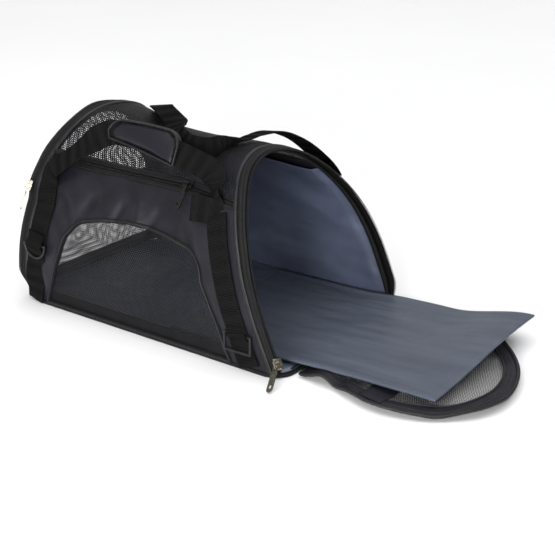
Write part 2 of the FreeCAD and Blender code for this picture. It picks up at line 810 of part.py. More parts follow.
for item in doc.Objects:
    if "Invalid" in item.State or "Error" in item.State:
        raise SystemExit(f"{item.Name} {item.Label} is {item.State}")
os.makedirs("parts", exist_ok=True)
for item in nodes:
    if item.Shape.isNull() or not item.Shape.isValid() or not item.Shape.Solids:
        raise SystemExit(f"{item.Label} has no valid solid")
    item.Shape.exportStep(f"parts/{item.Label}.step")
print(f"{len(nodes)} nodes written")
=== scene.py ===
"""Looks of the soft pet carrier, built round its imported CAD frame. Metres, +Z up.

+X points to the open front end, and -Y is the near side, which carries the window. The
bag's cloth is one arch-shaped wall. Each layer of it is a strip of that wall with an
inset of its own, so that panels, linings, netting, zips and straps sag together.
"""

import math

import bmesh
import bpy
import numpy as np
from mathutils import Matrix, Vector, noise


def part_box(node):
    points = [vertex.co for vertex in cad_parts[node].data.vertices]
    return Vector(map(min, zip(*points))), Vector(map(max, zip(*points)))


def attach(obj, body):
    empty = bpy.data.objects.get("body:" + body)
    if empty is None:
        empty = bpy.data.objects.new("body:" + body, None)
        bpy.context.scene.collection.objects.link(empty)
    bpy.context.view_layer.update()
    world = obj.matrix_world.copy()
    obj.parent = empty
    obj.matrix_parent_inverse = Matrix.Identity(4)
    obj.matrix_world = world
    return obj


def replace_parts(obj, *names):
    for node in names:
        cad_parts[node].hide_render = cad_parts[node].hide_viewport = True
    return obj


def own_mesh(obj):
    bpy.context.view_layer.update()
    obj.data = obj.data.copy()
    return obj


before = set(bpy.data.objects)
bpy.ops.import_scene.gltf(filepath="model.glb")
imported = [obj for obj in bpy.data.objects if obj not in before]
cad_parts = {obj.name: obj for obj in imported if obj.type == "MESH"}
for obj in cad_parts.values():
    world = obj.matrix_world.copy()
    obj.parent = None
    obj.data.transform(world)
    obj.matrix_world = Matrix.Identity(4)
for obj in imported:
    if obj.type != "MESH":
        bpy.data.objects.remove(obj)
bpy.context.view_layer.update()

# ---- sizes of the bag

# The arch: half its length and width at the base, the height of its upright foot, the
# crown's radius, the crest's height, and how far each end leans in.
HALF_LENGTH = 0.230
HALF_WIDTH = 0.145
STRAIGHT = 0.060
CROWN = 0.110
TOP = 0.250
FRONT_LEAN = math.radians(20.0)
REAR_LEAN = math.radians(8.4)
RIM = 0.020
# Heights on the arch where the pieces of the wall meet.
SIDE_ZIP_FOOT = 0.192
SIDE_ZIP = (0.1915, 0.1975, 0.2005, 0.2065)
TOP_NET_FOOT = 0.206
FAR_PANEL_HEAD = 0.200
FOOT = 0.002
# Flat size of a side panel, thicknesses of cloth, and the spacing of a panel's points.
PANEL_CLOTH = 0.0012
LINING_CLOTH = 0.0004
TAPE_CLOTH = 0.0008
GRID = 0.003
# Webbing: width, thickness, and its ribs' spacing and height; then where straps lie.
WEBBING_WIDTH = 0.032
WEBBING = 0.0018
WEBBING_RIB = 0.0021
RIB_HEIGHT = 0.00028
STRAP_TOP = 0.182
STRAP_DEPTHS = {"front": 0.030, "rear": 0.020}
STRAP_FEET = {"front": 0.0065, "rear": 0.0035}
STRAP_STITCHES = 0.0135
# A zip's coil and a row of stitches.
COIL_PITCH = 0.0014
COIL_WIRE = 0.00034
STITCH_LENGTH = 0.0026
STITCH_GAP = 0.0011
STITCH_THICK = 0.00028

# The side arcs meet the upright foot and the crown without a corner.
RISE = TOP - CROWN - STRAIGHT
SPREAD = HALF_WIDTH - CROWN
SIDE_CENTRE = (RISE**2 - SPREAD**2) / (2 * SPREAD)
SIDE = HALF_WIDTH + SIDE_CENTRE
TANGENT = math.atan2(RISE, SIDE_CENTRE)
CROWN_RUN = CROWN * (math.pi / 2 - TANGENT)
SIDE_RUN = SIDE * TANGENT


# ---- small helpers


def smooth(value, low=0.0, high=1.0):
    """0 below low, 1 above high, and a smooth step between them."""
    share = np.clip((np.asarray(value, float) - low) / (high - low), 0, 1)
    return share * share * (3 - 2 * share)


def hill(value, middle, width):
    """1 at middle, fading to 0 a few widths away."""
    return np.exp(-(((np.asarray(value, float) - middle) / width) ** 2))


def mix(a, b, share):
    """From a to b by a share of 0 to 1."""
    return a + (b - a) * share


def unit(vectors):
    """Rows of vectors, each scaled to length 1."""
    vectors = np.asarray(vectors, float)
    length = np.linalg.norm(vectors, axis=-1, keepdims=True)
    return vectors / np.maximum(length, 1e-12)


def running(line):
    """How far along a line each of its points is."""
    gaps = np.linalg.norm(np.diff(line[:, :3], axis=0), axis=1)
    return np.concatenate([[0], np.cumsum(gaps)])


def resample(values, at, to):
    """Rows of values, known at some places, read off at others."""
    return np.stack([np.interp(to, at, column) for column in values.T], 1)


def spline(points, spacing):
    """Points every spacing along a smooth curve through a few chosen ones. The first
    three columns are the place, and any others go along with it."""
    points = np.array(points, float)
    at = running(points)
    slopes = np.gradient(points, at, axis=0)
    run = np.linspace(0, at[-1], max(3, int(round(at[-1] / spacing)) + 1))
    index = np.clip(np.searchsorted(at, run, side="right") - 1, 0, len(at) - 2)
    gap = np.diff(at)[index][:, None]
    t = (run - at[index])[:, None] / gap
    return (
        (2 * t**3 - 3 * t**2 + 1) * points[index]
        + (t**3 - 2 * t**2 + t) * slopes[index] * gap
        + (3 * t**2 - 2 * t**3) * points[index + 1]
        + (t**3 - t**2) * slopes[index + 1] * gap
    )


def evenly(line, spacing, closed=False):
    """The same line with its points spacing apart."""
    line = np.asarray(line, float)
    if closed:
        line = np.vstack([line, line[:1]])
    at = running(line)
    run = np.linspace(0, at[-1], max(4, int(round(at[-1] / spacing))) + 1)
    even = resample(line, at, run)
    return even[:-1] if closed else even


def arc(start, via, end, count):
    """Points after start on the arc through via to end, in a plane."""
    (ax, ay), (bx, by), (cx, cy) = start, via, end
    d = 2 * (ax * (by - cy) + bx * (cy - ay) + cx * (ay - by))
    a, b, c = ax**2 + ay**2, bx**2 + by**2, cx**2 + cy**2
    x = (a * (by - cy) + b * (cy - ay) + c * (ay - by)) / d
    y = (a * (cx - bx) + b * (ax - cx) + c * (bx - ax)) / d
    first = math.atan2(ay - y, ax - x)
    turn = (math.atan2(cy - y, cx - x) - first) % (2 * math.pi)
    middle = (math.atan2(by - y, bx - x) - first) % (2 * math.pi)
    if middle > turn:
        turn -= 2 * math.pi
    radius = math.hypot(ax - x, ay - y)
    angles = first + turn * np.linspace(0, 1, count + 1)[1:]
    return [(x + radius * math.cos(t), y + radius * math.sin(t)) for t in angles]


def inside(points, outline):
    """Whether each point of a plane is inside a closed outline."""
    points, outline = np.asarray(points, float), np.asarray(outline, float)
    result = np.zeros(len(points), bool)
    previous = outline[-1]
    for corner in outline:
        crosses = (corner[1] > points[:, 1]) != (previous[1] > points[:, 1])
        if abs(previous[1] - corner[1]) > 1e-12:
            share = (points[:, 1] - corner[1]) / (previous[1] - corner[1])
            result ^= crosses & (points[:, 0] < corner[0] + share * (previous[0] - corner[0]))
        previous = corner
    return result


def ripple(points, scale, seed):
    """Smooth seeded noise of -1 to 1 for each row of points."""
    points = np.asarray(points, float)
    flat = points.reshape(-1, points.shape[-1])
    shift = Vector((seed * 7.31, seed * 3.17, seed * 5.53))
    place = np.zeros((len(flat), 3))
    place[:, : flat.shape[1]] = flat / scale
    values = [noise.noise(Vector(p) + shift) for p in place]
    return np.array(values).reshape(points.shape[:-1])


# ---- mesh builders


def new_piece(name, points, faces, look, uvs=None):
    """A mesh object. uvs are a place in the cloth, in metres, for each face corner."""
    mesh = bpy.data.meshes.new(name)
    points = np.asarray(points, float).reshape(-1, 3)
    mesh.from_pydata(points.tolist(), [], [list(map(int, f)) for f in faces])
    if uvs is not None:
        layer = mesh.uv_layers.new(name="cloth")
        layer.data.foreach_set("uv", np.asarray(uvs, np.float32).ravel())
    mesh.polygons.foreach_set("use_smooth", [True] * len(mesh.polygons))
    mesh.materials.append(LOOKS[look][0])
    mesh.update()
    piece = bpy.data.objects.new(name, mesh)
    bpy.context.scene.collection.objects.link(piece)
    return piece


def quads(rows, columns, closed_rows=False, closed_columns=False):
    """Corners of a grid's faces: the vertices' numbers, and unwrapped rows and columns."""
    down = np.arange(rows if closed_rows else rows - 1)
    over = np.arange(columns if closed_columns else columns - 1)
    r, c = (part.ravel() for part in np.meshgrid(down, over, indexing="ij"))
    corner_rows = np.stack([r, r + 1, r + 1, r], 1)
    corner_columns = np.stack([c, c, c + 1, c + 1], 1)
    numbers = (corner_rows % rows) * columns + corner_columns % columns
    return numbers, corner_rows, corner_columns


def skin(name, points, look, closed_rows=False, closed_columns=False, keep=None, flat=None):
    """A sheet through a grid of points. flat gives each point's place in the cloth, and
    keep says which faces stay."""
    rows, columns = points.shape[:2]
    numbers, corner_rows, corner_columns = quads(rows, columns, closed_rows, closed_columns)
    if flat is None:
        down = np.linalg.norm(np.diff(points, axis=0, append=points[:1]), axis=2).mean(1)
        over = np.linalg.norm(np.diff(points, axis=1, append=points[:, :1]), axis=2).mean(0)
        down, over = (np.concatenate([[0], np.cumsum(gaps)]) for gaps in (down, over))
        uvs = np.stack([down[corner_rows], over[corner_columns]], 2)
    else:
        uvs = flat[corner_rows, corner_columns]
    points = points.reshape(-1, 3)
    if keep is not None:
        used, numbers = np.unique(numbers[keep], return_inverse=True)
        points, numbers, uvs = points[used], numbers.reshape(-1, 4), uvs[keep]
    return new_piece(name, points, numbers, look, uvs.reshape(-1, 2))


def thicken(piece, thickness, offset=-1.0):
    """Gives a sheet its thickness, to one side of it or (at offset 0) to both."""
    modifier = piece.modifiers.new("thickness", "SOLIDIFY")
    modifier.thickness = thickness
    modifier.offset = offset
    modifier.use_even_offset = False
    return piece


def frame_along(path, up, closed=False):
    """The directions ahead, across and up at each point of a path. up stays above the
    path, and is given once or as rows spread along it."""
    if closed:
        ahead = unit(np.roll(path, -1, axis=0) - np.roll(path, 1, axis=0))
    else:
        ahead = unit(np.gradient(path, axis=0))
    up = np.atleast_2d(np.asarray(up, float))
    up = resample(up, np.linspace(0, 1, len(up)), np.linspace(0, 1, len(path)))
    across = unit(np.cross(ahead, up))
    return ahead, across, np.cross(across, ahead)


def tube(name, path, across, up, section, look, closed=False):
    """A closed section of (across, up) pairs, carried along a path."""
    points = (
        path[:, None, :]
        + across[:, None, :] * section[None, :, 0, None]
        + up[:, None, :] * section[None, :, 1, None]
    )
    piece = skin(name, points, look, closed_rows=closed, closed_columns=True)
    if not closed:
        close_ends(piece, len(section), len(path))
    return piece


def swept(name, path, section, look, up, closed=False):
    """A tube along a path, square to it, with up above it."""
    _, across, up = frame_along(path, up, closed)
    return tube(name, path, across, up, section, look, closed)


def close_ends(piece, around, rows, both=True):
    """Caps the last end of a tube that was made by rows of points, or both ends."""
    build = bmesh.new()
    build.from_mesh(piece.data)
    build.verts.ensure_lookup_table()
    first = [build.verts[k] for k in range(around)]
    last = [build.verts[(rows - 1) * around + k] for k in reversed(range(around))]
    for ring in (first, last) if both else (last,):
        build.faces.new(ring).smooth = False
    bmesh.ops.recalc_face_normals(build, faces=build.faces)
    build.to_mesh(piece.data)
    build.free()


def circle(radius, count=8, high=None):
    """A round section, or an oval one that is high upwards."""
    angles = np.linspace(0, 2 * math.pi, count, endpoint=False)
    return np.stack([radius * np.cos(angles), (high or radius) * np.sin(angles)], 1)


def ribbon(width, thickness):
    """A flat section with rounded edges."""
    half, t = width / 2, thickness / 2
    across = [-1, -0.93, -0.6, -0.2, 0.2, 0.6, 0.93, 1]
    over = [(half * a, t * (0.35 if abs(a) == 1 else 1)) for a in across]
    return np.array(over + [(a, -b) for a, b in reversed(over)])


def coil(name, path, up, radius=0.0012, wide=1.5):
    """A zip's nylon coil: one thread wound along a path, seven points to a turn."""
    path = evenly(path, COIL_PITCH / 7)
    _, across, up = frame_along(path, up)
    turn = (np.arange(len(path)) * 2 * math.pi / 7)[:, None]
    thread = path + across * radius * wide * np.cos(turn) + up * radius * np.sin(turn)
    outward = unit(across * np.cos(turn) / wide + up * np.sin(turn))
    return swept(name, thread, circle(COIL_WIRE, 5), "coil", outward)


def stitches(name, path, up, look="stitch"):
    """A row of sewn stitches along a path: small pointed bodies sunk into the cloth."""
    path = evenly(path, STITCH_LENGTH + STITCH_GAP)
    ahead, across, up = frame_along(path, up)
    half = ahead * STITCH_LENGTH / 2
    across, up = across * STITCH_THICK, up * STITCH_THICK
    corners = [path - half, path + across, path + up, path - across, path - up, path + half]
    points = np.stack(corners, 1).reshape(-1, 3)
    belt = ((1, 2), (2, 3), (3, 4), (4, 1))
    shape = [(0, b, a) for a, b in belt] + [(5, a, b) for a, b in belt]
    faces = [[6 * k + corner for corner in face] for k in range(len(path)) for face in shape]
    return new_piece(name, points, faces, look, np.zeros((len(faces) * 3, 2)))


def netting(name, outline, to_space, cell=0.0031, thread=0.0009, deep=0.0005):
    """Knitted netting: a sheet with six-sided holes, cut to an outline in the cloth and
    then carried into space by to_space, which also takes a lift. Each hole has walls."""
    step = np.array([cell, cell * math.sqrt(3) / 2])
    low = np.floor(outline.min(0) / step).astype(int) - 1
    high = np.ceil(outline.max(0) / step).astype(int) + 2
    column, row = np.meshgrid(np.arange(low[0], high[0]), np.arange(low[1], high[1]))
    centres = (np.stack([column + (row % 2) * 0.5, row], 2) * step).reshape(-1, 2)
    centres = centres[inside(centres, outline)]
    outer = cell / math.sqrt(3)
    angles = np.radians(np.arange(6) * 60 + 30)
    spokes = np.stack([np.cos(angles), np.sin(angles)], 1)
    rim = centres[:, None, :] + spokes * outer
    hole = centres[:, None, :] + spokes * (outer - thread / 2 / math.cos(math.radians(30)))
    hole = hole.reshape(-1, 2)
    keys = np.round(rim.reshape(-1, 2) / 1e-5).astype(int)
    keys, places = np.unique(keys, axis=0, return_inverse=True)
    places, shared = places.reshape(-1, 6), keys * 1e-5
    flat = np.vstack([shared, hole, hole])
    points = np.vstack([to_space(shared, 0.0), to_space(hole, 0.0), to_space(hole, -deep)])
    inner = len(shared) + np.arange(len(centres) * 6).reshape(-1, 6)
    loops = [(places, inner), (inner, inner + len(hole))]
    faces = [np.stack([a, np.roll(a, -1, 1), np.roll(b, -1, 1), b], 2) for a, b in loops]
    faces = np.concatenate(faces).reshape(-1, 4)
    return new_piece(name, points, faces, "netting", flat[faces].reshape(-1, 2))


# ---- materials


def tone(red, green, blue):
    """A colour from display values of 0 to 255."""
    values = [v / 255 for v in (red, green, blue)]
    line = [v / 12.92 if v <= 0.04045 else ((v + 0.055) / 1.055) ** 2.4 for v in values]
    return (*line, 1.0)


class Look:
    """A node material whose textures follow the cloth, or the object where it has none."""

    def __init__(self, name, rough=0.5, cloth=True, **sockets):
        self.material = bpy.data.materials.new(name)
        self.material.use_nodes = True
        self.nodes = self.material.node_tree.nodes
        self.links = self.material.node_tree.links
        self.shader = self.nodes["Principled BSDF"]
        self.normal = None
        if cloth:
            self.where = self.add("ShaderNodeUVMap", {"uv_map": "cloth"}).outputs["UV"]
        else:
            self.where = self.add("ShaderNodeTexCoord").outputs["Object"]
        for socket, value in {"Roughness": rough, **sockets}.items():
            self.shader.inputs[socket.replace("_", " ")].default_value = value

    def add(self, kind, settings=None, **inputs):
        """A node with its settings, and its inputs linked or set."""
        made = self.nodes.new(kind)
        for key, value in (settings or {}).items():
            setattr(made, key, value)
        for key, value in inputs.items():
            if isinstance(value, bpy.types.NodeSocket):
                self.links.new(value, made.inputs[key])
            else:
                made.inputs[key].default_value = value
        return made

    def bands(self, direction, period):
        """Stripes across one direction, one every period metres."""
        scale = math.pi / 10 / period
        made = self.add("ShaderNodeTexWave", {"bands_direction": direction},
                        Vector=self.where, Scale=scale)
        return made.outputs["Fac"]

    def weave(self, period):
        """Threads crossing both ways."""
        made = self.add("ShaderNodeMath", {"operation": "MULTIPLY"})
        for socket, direction in zip(made.inputs, "XY"):
            self.links.new(self.bands(direction, period), socket)
        return made.outputs["Value"]

    def mottle(self, period, detail=4.0, stretch=None):
        """Soft blotches about one period wide. A stretch below 1 draws them out that way."""
        where = self.where
        if stretch:
            where = self.add("ShaderNodeMapping", Vector=where, Scale=stretch).outputs["Vector"]
        made = self.add("ShaderNodeTexNoise", Vector=where, Scale=1 / period, Detail=detail)
        return made.outputs["Fac"]

    def bump(self, height, strength, distance):
        """Adds relief to what there is already."""
        made = self.add("ShaderNodeBump", Height=height, Strength=strength, Distance=distance)
        if self.normal:
            self.links.new(self.normal, made.inputs["Normal"])
        self.normal = made.outputs["Normal"]
        self.links.new(self.normal, self.shader.inputs["Normal"])

    def vary(self, amount, low, high, socket="Base Color", start=0.3, stop=0.7):
        """Runs a socket between two values by a texture's amount. A colour's values are
        display values of red, green and blue."""
        ramp = self.add("ShaderNodeValToRGB", Fac=amount)
        for element, value, at in zip(ramp.color_ramp.elements, (low, high), (start, stop)):
            element.position = at
            element.color = tone(*value) if socket == "Base Color" else (value, value, value, 1)
        self.links.new(ramp.outputs["Color"], self.shader.inputs[socket])


def polyester_look():
    """Satin blue-black cloth with a fine weave and slightly worn patches."""
    look = Look("satin_polyester", Specular_IOR_Level=0.2, Sheen_Weight=0.04,
                Sheen_Roughness=0.4, Sheen_Tint=tone(150, 150, 190))
    look.vary(look.mottle(0.045), (20, 19, 25), (31, 30, 37), start=0.35, stop=0.68)
    look.vary(look.mottle(0.02, 6), 0.34, 0.48, "Roughness")
    look.bump(look.weave(0.0009), 0.35, 0.0003)
    look.bump(look.mottle(0.012, 5), 0.3, 0.0016)
    return look.material


def webbing_look():
    """Black webbing: cross ribs crossed by a herringbone of fine diagonals, with painted shade in
    the ribs' grooves.
    """
    look = Look("ribbed_webbing", 0.62, Specular_IOR_Level=0.05)
    rib_relief_and_shade = look.bands("X", WEBBING_RIB)
    # Painted shade: the colour follows the ribs, darker in their grooves than on their crests.
    look.vary(rib_relief_and_shade, (8, 8, 9), (27, 27, 26), start=0.1, stop=0.95)
    look.bump(rib_relief_and_shade, 0.8, 0.0006)
    look.bump(look.bands("DIAGONAL", 0.0011), 0.55, 0.0004)
    return look.material


def binding_look():
    """Narrow grosgrain tape, with fine ribs and a duller face."""
    look = Look("binding_tape", 0.5, Specular_IOR_Level=0.16, Sheen_Weight=0.02)
    look.vary(look.mottle(0.02), (9, 9, 10), (17, 17, 19))
    look.bump(look.bands("X", 0.0008), 0.5, 0.0003)
    return look.material


def piping_look():
    """Glossier edge binding whose crest catches the light."""
    look = Look("edge_piping", 0.36, Specular_IOR_Level=0.32)
    look.vary(look.mottle(0.012, 5), (14, 14, 16), (30, 30, 33))
    look.bump(look.bands("DIAGONAL", 0.0009), 0.6, 0.0003)
    return look.material


def lining_look():
    """Coated slate-grey lining: a slightly glossy film with long soft creases."""
    look = Look("coated_lining", Specular_IOR_Level=0.4, Coat_Weight=0.3, Coat_Roughness=0.3)
    look.vary(look.mottle(0.08), (66, 72, 89), (88, 95, 115))
    look.vary(look.mottle(0.03, 3), 0.30, 0.42, "Roughness")
    look.bump(look.mottle(0.09, 2, stretch=(0.8, 1.5, 1.0)), 0.8, 0.012)
    look.bump(look.weave(0.0011), 0.15, 0.0002)
    return look.material


def mat_look():
    """The mat's coated cloth: duller slate grey with a fine weave and long streaks."""
    look = Look("mat_cloth", Specular_IOR_Level=0.25, Coat_Weight=0.04, Coat_Roughness=0.45)
    streaks = (0.35, 2.4, 1.0)
    look.vary(look.mottle(0.05, stretch=streaks), (70, 76, 88), (84, 90, 102))
    look.vary(look.mottle(0.02, 3), 0.38, 0.5, "Roughness")
    look.bump(look.mottle(0.05, 2, stretch=streaks), 0.25, 0.003)
    look.bump(look.weave(0.0010), 0.25, 0.0002)
    return look.material


def netting_look():
    """Black knitted thread."""
    look = Look("net_thread", 0.5, Specular_IOR_Level=0.2)
    look.vary(look.mottle(0.03), (13, 13, 15), (26, 26, 29))
    look.bump(look.bands("DIAGONAL", 0.0004), 0.5, 0.0001)
    return look.material


def coil_look():
    """Black nylon with a soft shine."""
    look = Look("zip_coil", 0.4, cloth=False, Specular_IOR_Level=0.35)
    look.vary(look.mottle(0.01), (10, 10, 12), (20, 20, 22))
    return look.material


def stitch_look(name, dark, light):
    """Sewing thread of one colour."""
    look = Look(name, 0.6, cloth=False, Specular_IOR_Level=0.2)
    look.vary(look.mottle(0.004), dark, light)
    return look.material


def plastic_look():
    """Moulded black plastic with a fine spark-eroded grain."""
    look = Look("ring_plastic", 0.38, cloth=False, Specular_IOR_Level=0.35)
    look.vary(look.mottle(0.006), (14, 14, 16), (24, 24, 26))
    look.bump(look.mottle(0.0008, 2), 0.25, 0.0002)
    return look.material


def nickel_look():
    """Bright nickel with fine scratches and a warm cast."""
    look = Look("bright_nickel", cloth=False, Metallic=1.0)
    scratch = (1.0, 1.0, 0.08)
    look.vary(look.mottle(0.004), (112, 108, 95), (162, 157, 141))
    look.vary(look.mottle(0.0006, 3, stretch=scratch), 0.16, 0.36, "Roughness")
    look.bump(look.mottle(0.0005, 3, stretch=scratch), 0.15, 0.0001)
    return look.material


def enamel_look():
    """Black enamelled metal with small chips and scuffs."""
    look = Look("black_enamel", cloth=False, Specular_IOR_Level=0.3)
    look.vary(look.mottle(0.003, 6), (10, 10, 11), (26, 26, 27), stop=0.75)
    look.vary(look.mottle(0.0015, 3), 0.26, 0.44, "Roughness")
    return look.material


def floor_look():
    """An almost white floor."""
    look = Look("pale_floor", 0.7, cloth=False, Specular_IOR_Level=0.1)
    look.vary(look.mottle(0.6), (250, 250, 251), (253, 253, 253))
    return look.material


LOOKS = {
    "polyester": (polyester_look(), "polyester"),
    "webbing": (webbing_look(), "webbing"),
    "binding": (binding_look(), "binding"),
    "lining": (lining_look(), "coated_lining"),
    "mat": (mat_look(), "mat_cloth"),
    "netting": (netting_look(), "netting"),
    "coil": (coil_look(), "zip_coil"),
    "stitch": (stitch_look("black_thread", (22, 22, 24), (38, 38, 40)), "binding"),
    "piping": (piping_look(), "binding"),
    "grey_stitch": (stitch_look("grey_thread", (96, 100, 118), (124, 128, 146)),
                    "mat_cloth"),
    "wrap": (polyester_look(), "wrap_cloth"),
    "plastic": (plastic_look(), "ring_plastic"),
    "nickel": (nickel_look(), "zip_metal"),
    "enamel": (enamel_look(), "zip_metal"),
}


# ---- the bag's wall


def profile(u, inset=0.0):
    """Y and Z on the arch at u metres from the crest along the outside, near side
    negative, moved in by inset."""
    u, inset = np.broadcast_arrays(np.asarray(u, float), inset)
    away = np.abs(u)
    crown, side = CROWN - inset, SIDE - inset
    over = away / CROWN
    slope = TANGENT - (away - CROWN_RUN) / SIDE
    foot = CROWN_RUN + SIDE_RUN
    parts = [away < CROWN_RUN, away < foot]
    y = np.select(parts, [crown * np.sin(over), side * np.cos(slope) - SIDE_CENTRE],
                  HALF_WIDTH - inset)
    z = np.select(parts, [TOP - CROWN + crown * np.cos(over), STRAIGHT + side * np.sin(slope)],
                  STRAIGHT - (away - foot))
    return np.where(u < 0, -y, y), z


def run_at(height):
    """How far down the arch from the crest the outside is at this height."""
    height = np.asarray(height, float)
    crown = CROWN * np.arccos(np.clip((height - TOP + CROWN) / CROWN, -1, 1))
    slope = np.arcsin(np.clip((height - STRAIGHT) / SIDE, -1, 1))
    side = CROWN_RUN + (TANGENT - slope) * SIDE
    foot = CROWN_RUN + SIDE_RUN + STRAIGHT - height
    tangent_height = STRAIGHT + SIDE * math.sin(TANGENT)
    return np.select([height > tangent_height, height > STRAIGHT], [crown, side], foot)


FULL_RUN = float(run_at(FOOT))


def front_x(height, depth=0.0):
    """X of the front arch's plane at a height, or of a plane some depth behind it."""
    return HALF_LENGTH - depth / math.cos(FRONT_LEAN) - height * math.tan(FRONT_LEAN)


def rear_x(height, depth=0.0):
    """X of the rear arch's plane at a height, or of a plane some depth inside it."""
    return -HALF_LENGTH + depth / math.cos(REAR_LEAN) + height * math.tan(REAR_LEAN)


def share_along(x, z):
    """0 at the rear arch and 1 at the front one."""
    return (x - rear_x(z)) / (front_x(z) - rear_x(z))


def off_arches(x, z, rear, front):
    """0 beside the arches and 1 away from them, each fading between two distances."""
    return smooth(x - rear_x(z), *rear) * smooth(front_x(z) - x, *front)


# Soft folds of the outer wall: x and u of each end, width, and depth (in is positive).
NEAR_FOLDS = [
    (-0.150, -0.165, -0.120, -0.215, 0.011, 0.0045),
    (-0.118, -0.212, -0.060, -0.205, 0.010, -0.0030),
    (-0.090, -0.150, -0.118, -0.195, 0.010, 0.0040),
    (-0.040, -0.150, -0.058, -0.196, 0.008, 0.0040),
    (-0.015, -0.148, -0.012, -0.180, 0.008, -0.0030),
    (0.020, -0.150, -0.005, -0.200, 0.009, 0.0035),
    (-0.050, -0.212, 0.060, -0.205, 0.010, -0.0028),
    (0.060, -0.160, 0.095, -0.215, 0.010, 0.0032),
    (0.105, -0.235, 0.140, -0.290, 0.008, 0.0022),
    (-0.185, -0.250, -0.178, -0.300, 0.007, 0.0020),
]
FOLD_DEPTH = 1.25
TOP_SAG = 0.017
SIDE_SLACK = 0.0035


def fold_inset(x, u):
    """How far the folds push the wall in at each place."""
    total = np.zeros(np.broadcast(x, u).shape)
    for x0, u0, x1, u1, width, depth in NEAR_FOLDS:
        along_x, along_u = x1 - x0, u1 - u0
        long = math.hypot(along_x, along_u)
        share = ((x - x0) * along_x + (u - u0) * along_u) / long**2
        off = ((x - x0) * along_u - (u - u0) * along_x) / long
        fade = smooth(share, -0.25, 0.25) * smooth(1 - share, -0.25, 0.25)
        total = total + FOLD_DEPTH * depth * fade * hill(off, 0.0, width)
    return total


def slack(x, u):
    """How far in the soft wall lies: a sag between the arches, and folds."""
    _, z = profile(u)
    crest = smooth(0.17 - np.abs(u), 0.0, 0.17)
    upright = hill(np.abs(u), 0.20, 0.07)
    sag = TOP_SAG * crest + SIDE_SLACK * upright
    near = smooth(-u, 0.12, 0.15) * smooth(z, 0.004, 0.03)
    folds = fold_inset(x, u) * near * off_arches(x, z, (0.02, 0.05), (0.02, 0.05))
    return sag * off_arches(x, z, (0.012, 0.16), (0.012, 0.13)) + folds


# The open front arch leans to the near side: evenly with height, and more by its crest.
FRONT_SWAY = 0.0153
FRONT_CREST_SWAY = 0.0255
FRONT_REACH = (0.62, 1.0)
FRONT_DROP = 0.005
# The rear arch bulges, and its crest and far shoulder lie to the far side.
REAR_REACH = (0.0, 0.35)
REAR_BULGE = 0.009
REAR_LIFT = 0.003
REAR_CREST_SHIFT = 0.008
REAR_FAR_FULLNESS = 0.016
# Each end's rounding in plan near the base: end, radius, and the height it fades at.
REAR_RADIUS, FRONT_RADIUS = 0.045, 0.028
CORNERS = [(-1, REAR_RADIUS, 0.046), (1, FRONT_RADIUS, 0.034)]


def lopsided(x, z):
    """How far the front arch's sway moves a point in y."""
    high = z / TOP
    sway = FRONT_SWAY * high + FRONT_CREST_SWAY * np.clip(high, 0, 1.2) ** 4
    return -sway * smooth(share_along(x, z), *FRONT_REACH)


def settle(points):
    """Gives each stiff arch its own lean or bulge, and rounds the plan by the base."""
    x, y, z = points[..., 0], points[..., 1], points[..., 2]
    share = share_along(x, z)
    back, front = 1 - smooth(share, *REAR_REACH), smooth(share, *FRONT_REACH)
    y = y + lopsided(x, z)
    for end, radius, reach in CORNERS:
        edge = front_x(z) if end > 0 else rear_x(z)
        a = radius - (edge - x) * end
        b = np.abs(y) - (HALF_WIDTH - radius)
        both = (a > 0) & (b > 0)
        shrink = np.where(both, np.maximum(a, b) / np.maximum(np.hypot(a, b), 1e-9), 1.0)
        shrink = mix(1.0, shrink, smooth(1 - z / reach)) - 1
        x = np.where(both, x + shrink * a * end, x)
        y = np.where(both, y + shrink * b * np.sign(y), y)
    shoulder = smooth(z, 0.140, 0.170) * (1 - 0.75 * smooth(z, 0.195, 0.24))
    x = x - REAR_BULGE * shoulder * back
    full = REAR_CREST_SHIFT * smooth(y, -0.10, 0.0) + REAR_FAR_FULLNESS * smooth(y, -0.02, 0.06)
    y = y + full * smooth(z, 0.14, 0.235) * back
    z = z + REAR_LIFT * smooth(z, 0.17, 0.25) * back - FRONT_DROP * smooth(z, 0.12, 0.25) * front
    return np.stack([x, y, z], -1)


def wall(x, u, inset=0.0):
    """A point of the settled wall."""
    x, u = np.broadcast_arrays(np.asarray(x, float), np.asarray(u, float))
    y, z = profile(u, inset + slack(x, u))
    return settle(np.stack([x, y, z], -1))


def wall_out(x, u):
    """The direction out of the wall."""
    return unit(wall(x, u, -0.001) - wall(x, u, 0.001))


def rim(end, depth, u, inset=0.0):
    """A point at one depth behind an arch plane."""
    _, z = profile(u, inset)
    x = front_x(z, depth) if end == "front" else rear_x(z, depth)
    return wall(x, u, inset)


# ---- panels and linings


def window_outline(grow):
    """The near window in x and height, grown by grow: a low arch on the base seam."""
    foot, side, bend, level = 0.008 - grow, 0.4 * grow, 0.8 * grow, 0.5 * grow
    corners = [(0.147 + grow, foot), (0.101 + grow, 0.098 + side)]
    shoulder, brow = (0.066 + level, 0.132 + grow), (-0.095 - level, 0.131 + grow)
    temple = (-0.133 - grow, 0.100 + side)
    corners += arc(corners[-1], (0.089 + bend, 0.121 + bend), shoulder, 8)
    corners += arc(shoulder, (-0.012, 0.142 + grow), brow, 24)
    corners += arc(brow, (-0.119 - bend, 0.121 + bend), temple, 8)
    corners = np.array(corners + [(-0.166 - grow, foot)])
    corners[:, 1] = np.maximum(corners[:, 1], 0.0035)
    return corners


def window_cloth(grow):
    """The window's closed outline in x and u."""
    line = evenly(window_outline(grow), 0.0025, closed=True)
    return np.stack([line[:, 0], -run_at(line[:, 1])], 1)


